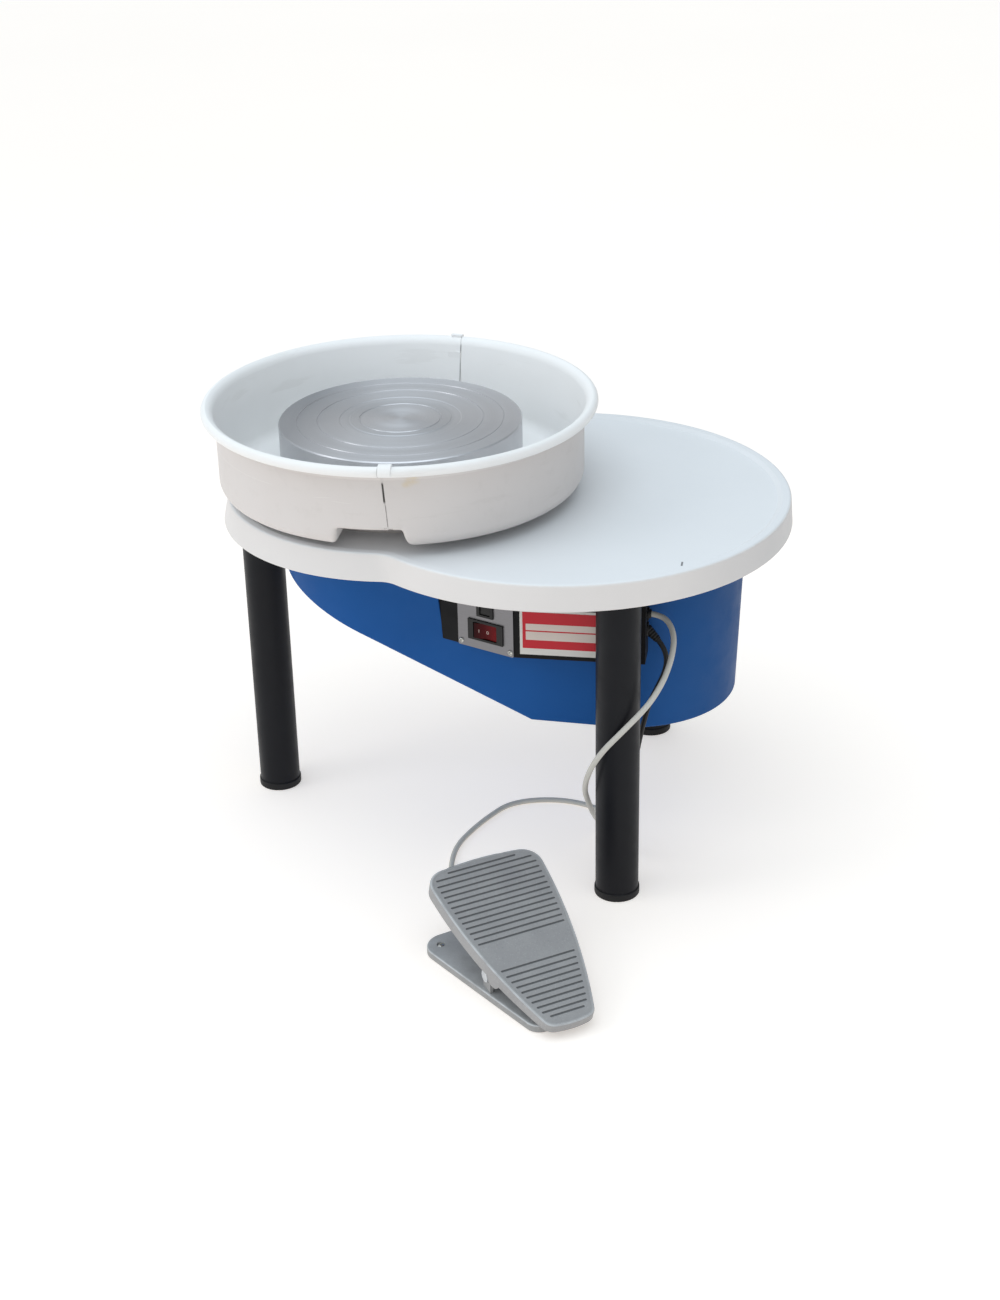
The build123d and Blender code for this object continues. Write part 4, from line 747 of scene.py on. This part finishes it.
BORDER = 3.6
GROOVES_UP = [(-11.0, 45.0), (-18.5, None), (-27.5, None), (-36.2, None), (-44.7, None), (-53.2, None), (-61.9, None), (-70.4, None), (-78.8, None),
              (-87.3, None), (-95.8, None), (-104.5, None), (-113.1, None), (-122.0, None)]
GROOVES_LOW = [(-166.2, None), (-175.6, None), (-184.4, None), (-192.9, None), (-201.4, None), (-209.8, None), (-218.2, None), (-226.6, None),
               (-234.8, None), (-242.4, 22.0)]
GW, LEVEL, DEEP = 2.5, -0.35, -1.3          # groove width, field and groove floor below the border
rows = [(u, None, 0.0) for u in (-3.65, -3.9, -4.3, -4.9, -5.7, -6.7, -7.8, -8.8, -130.0, -138.0, -146.0, -154.0, -160.0,
                                 -246.0, -248.5, -250.5, -252.2, -253.5, -254.4, -255.0, -255.3)]
for u, cap in GROOVES_UP + GROOVES_LOW:
    reach = half_width(u, BORDER) - 4.2
    reach = min(reach, cap) if cap else reach
    for du, depth in ((0.62, 0.0), (0.46, 0.35), (0.32, 1.0), (0.0, 1.0), (-0.32, 1.0), (-0.46, 0.35), (-0.62, 0.0)):
        k = min(1.0, abs(du) / 0.5)
        rows.append((u + du * GW, reach - GW / 2 * (1 - math.sqrt(1 - k * k)), depth))
rows.sort(key=lambda r: -r[0])
bm = bmesh.new()
lines = []
for u, reach, depth in rows:
    edge = max(2.0, half_width(u, BORDER) - 0.02)
    reach = min(edge - 1.0, reach) if reach else edge - 1.2
    low = LEVEL + (DEEP - LEVEL) * depth
    cols = [(-edge, DEEP), (-edge, LEVEL), (-reach - 0.1, LEVEL), (-reach + 0.35, low), (-reach / 2, low), (0.0, low),
            (reach / 2, low), (reach - 0.35, low), (reach + 0.1, LEVEL), (edge, LEVEL), (edge, DEEP)]
    lines.append([bm.verts.new(tread_m @ Vector((u / 1000, w / 1000, z / 1000))) for w, z in cols])
for a, b in zip(lines, lines[1:]):
    for i in range(len(a) - 1):
        bm.faces.new((a[i], b[i], b[i + 1], a[i + 1]))
dress(link("tread_field", bm, angle=30), "treadle", "pedal_grey", "pedal_ribs")

# ================================================================ label
LABEL = frame_matrix(S(0.0, -173.0, 0.0), (1, 0, 0), (0, 0, 1), (0, -1, 0))
bm = bmesh.new()
plate(bm, LABEL, rounded_rect(177.0, 275.0, 311.0, 359.6, 0.8, 3), -0.3, 0.16, 0.05, 1)
dress(link("label_field", bm), "frame", "label_white", "label_red")
bm = bmesh.new()
plate(bm, LABEL, rounded_rect(181.0, 271.0, 335.4, 344.0, 0.6, 3), 0.0, 0.26, 0.05, 1)
plate(bm, LABEL, rounded_rect(181.0, 271.0, 322.4, 333.6, 0.6, 3), 0.0, 0.26, 0.05, 1)
dress(link("label_boxes", bm), "frame", "label_white", "label_pale")

# ================================================================ switch marks and screws
CA, SA = math.cos(math.radians(23.8)), math.sin(math.radians(23.8))


def plate_frame(x, z, d):
    """On the switch plate: x sideways, Y up, Z outwards."""
    p = Vector((167.0 + CA * x - SA * d, -172.0 - SA * x - CA * d, z))
    return frame_matrix(S(*p), (CA, -SA, 0), (0, 0, 1), (-SA, -CA, 0))


ROCK = math.radians(7.0)
rock_m = plate_frame(-41.0, 322.0, -1.5) @ Matrix.Rotation(ROCK, 4, "Y")
slope = math.atan2(2.2, 15.2)
left_m = rock_m @ Matrix.Translation((0, 0, 0.003)) @ Matrix.Rotation(slope, 4, "Y")
right_m = rock_m @ Matrix.Translation((0, 0, 0.003)) @ Matrix.Rotation(-slope, 4, "Y")
bm = bmesh.new()
plate(bm, left_m, rounded_rect(-9.3, -8.4, -2.0, 2.0, 0.3, 3), -0.1, 0.14, 0.05, 1)
for i in range(28):
    a0, a1 = 2 * math.pi * i / 28, 2 * math.pi * (i + 1) / 28
    quad = []
    for r, a in ((1.9, a0), (1.9, a1), (1.15, a1), (1.15, a0)):
        quad.append((2.6 + r * math.cos(a), -0.8 + r * 1.08 * math.sin(a)))
    plate(bm, right_m, quad, -0.1, 0.14)
bmesh.ops.remove_doubles(bm, verts=bm.verts, dist=1e-7)
dress(link("rocker_marks", bm, angle=50), "power_rocker", "rocker_red", "mark_pale")


def cross_screw(bm, mt, r, h, turn):
    """Low dome with a cross recess, as a height field on a round patch."""
    n = 34
    grid = {}
    for i in range(-n, n + 1):
        for j in range(-n, n + 1):
            x, y = r * i / n, r * j / n
            d = math.hypot(x, y)
            if d > r * 1.0001:
                continue
            z = h * math.sqrt(max(0.0, 1.0 - 0.93 * (d / r) ** 2))
            cx, cy = x * math.cos(turn) + y * math.sin(turn), -x * math.sin(turn) + y * math.cos(turn)
            for p, q in ((cx, cy), (cy, cx)):
                half = 0.42 * r * 0.35
                if abs(p) < half and abs(q) < 0.58 * r:
                    z = min(z, h * (0.30 + 0.55 * (abs(q) / (0.58 * r)) ** 2))
            grid[i, j] = bm.verts.new(mt @ Vector((x / 1000, y / 1000, z / 1000)))
    for (i, j), v in grid.items():
        q = [grid.get(k) for k in ((i, j), (i + 1, j), (i + 1, j + 1), (i, j + 1))]
        if None not in q:
            bm.faces.new(q)
    rim = [e for e in bm.edges if e.is_boundary]
    return rim


def screw_set(name, slot, node, places, r, h):
    bm = bmesh.new()
    for mt, turn in places:
        sub = bmesh.new()
        rim = cross_screw(sub, mt, r, h, turn)
        ext = bmesh.ops.extrude_edge_only(sub, edges=rim)
        out = Vector(mt.col[2][:3])
        org = Vector(mt.translation)
        for v in (g for g in ext["geom"] if isinstance(g, bmesh.types.BMVert)):
            rel = v.co - org
            v.co = org + (rel - out * rel.dot(out)) + out * -0.0002
        tmp = bpy.data.meshes.new("tmp")
        sub.to_mesh(tmp)
        sub.free()
        bm.from_mesh(tmp)
        bpy.data.meshes.remove(tmp)
    return dress(link(name, bm, angle=40), "frame", slot, None, node)


screw_set("plate_screw_heads", "zinc_screw", "plate_screws",
          [(plate_frame(x, z, 1.5), t) for x, z, t in ((-76.9, 302.2, 0.5), (-5.6, 302.2, 1.1), (-76.9, 396.0, 0.2), (-5.6, 396.0, 0.9))], 3.6, 2.1)
screw_set("pad_screw_heads", "zinc_screw", "pedal_pad_screws",
          [(Matrix.Translation(pedal_base_pt(u, w, 7.6)), t) for u, w, t in ((-23.0, 62.5, 0.6), (-23.0, -62.5, 1.3), (-202.0, 22.0, 0.3), (-202.0, -22.0, 1.0))], 4.2, 2.3)

# ================================================================ backing in the open joint of the pan, carrying the pan's painted shade in its upper part
def gap_shade_backing():
    turn = math.radians(-1.5)
    bm = bmesh.new()
    rows = []
    for z, wide in ((513.2, 0.45), (516.5, 1.0), (520.0, 1.6), (526.0, 1.8), (532.0, 2.0), (538.0, 2.2), (541.5, 1.55), (544.8, 0.94)):
        right = 31.0 + 0.065 * (549.0 - z)
        row = []
        for x, r in ((right - wide - 0.15, 229.3), (right + 0.06, 229.3), (right + 0.06, 227.2), (right - wide - 0.15, 227.2)):
            y = -math.sqrt(r * r - x * x)
            row.append(bm.verts.new(S(x * math.cos(turn) - y * math.sin(turn), x * math.sin(turn) + y * math.cos(turn), z)))
        rows.append(row)
    for a, b in zip(rows, rows[1:]):
        for i in range(4):
            j = (i + 1) % 4
            bm.faces.new((a[i], a[j], b[j], b[i]))
    bm.faces.new(rows[0])
    bm.faces.new(rows[-1])
    bmesh.ops.recalc_face_normals(bm, faces=bm.faces)
    return dress(link("gap_shade_backing", bm, smooth=False), "pan_left", "pan_plastic")


gap_shade_backing()

# ================================================================ stage and light
bm = bmesh.new()
bmesh.ops.create_grid(bm, x_segments=1, y_segments=1, size=30.0)
floor = link("floor", bm, smooth=False)
fm = Mat("floor_paper", Specular_IOR_Level=0.1, Emission_Color=(1.0, 0.955, 0.91, 1.0), Emission_Strength=0.45)
fm.color(vary(fm, srgb(228, 222, 217), srgb(226, 220, 215), 0.7))
fm.rough(fm.ramp(fm.noise(2.0), (0.3, 0.85), (0.7, 0.95)))
floor.data.materials.append(fm.mat)

# soft room: cool from above, warmer and weaker at eye level, dim on the right and behind
world = bpy.data.worlds.new("studio")
bpy.context.scene.world = world
world.use_nodes = True
wt = world.node_tree
bg = wt.nodes["Background"]
tc = wt.nodes.new("ShaderNodeTexCoord")
sp = wt.nodes.new("ShaderNodeSeparateXYZ")
wt.links.new(tc.outputs["Generated"], sp.inputs[0])
rise = wt.nodes.new("ShaderNodeValToRGB")
wt.links.new(sp.outputs["Z"], rise.inputs[0])
el = rise.color_ramp.elements
el[0].position, el[0].color = 0.0, (0.52, 0.50, 0.485, 1.0)
el[1].position, el[1].color = 1.0, (0.86, 0.972, 1.05, 1.0)
side = wt.nodes.new("ShaderNodeVectorMath")
side.operation = "DOT_PRODUCT"
wt.links.new(tc.outputs["Generated"], side.inputs[0])
side.inputs[1].default_value = (0.88, 0.47, 0.0)
shade = wt.nodes.new("ShaderNodeMath")
shade.operation = "MAXIMUM"
wt.links.new(side.outputs["Value"], shade.inputs[0])
shade.inputs[1].default_value = 0.0
power = wt.nodes.new("ShaderNodeMath")
power.operation = "MULTIPLY_ADD"
wt.links.new(shade.outputs[0], power.inputs[0])
power.inputs[1].default_value = -0.62
power.inputs[2].default_value = 1.06
wt.links.new(rise.outputs[0], bg.inputs["Color"])
wt.links.new(power.outputs[0], bg.inputs["Strength"])


def softbox(name, at, to, size, power, color=(1, 1, 1)):
    li = bpy.data.lights.new(name, "AREA")
    li.shape = "RECTANGLE"
    li.size, li.size_y = size
    li.energy = power
    li.color = color
    o = bpy.data.objects.new(name, li)
    bpy.context.scene.collection.objects.link(o)
    o.location = at
    d = Vector(to) - Vector(at)
    o.rotation_euler = d.to_track_quat("-Z", "Y").to_euler()
    return o


softbox("top_light", (0.1, -0.5, 2.9), (0.0, 0.0, 0.4), (2.4, 2.0), 15.0, (0.91, 0.98, 1.04))
softbox("key_light", (-2.3, -1.0, 2.1), (0.1, 0.1, 0.45), (1.1, 1.3), 11.0, (0.98, 0.99, 1.0))

bpy.context.scene.view_settings.view_transform = "Standard"
bpy.context.scene.view_settings.look = "None"
bpy.context.scene.view_settings.exposure = 0.0
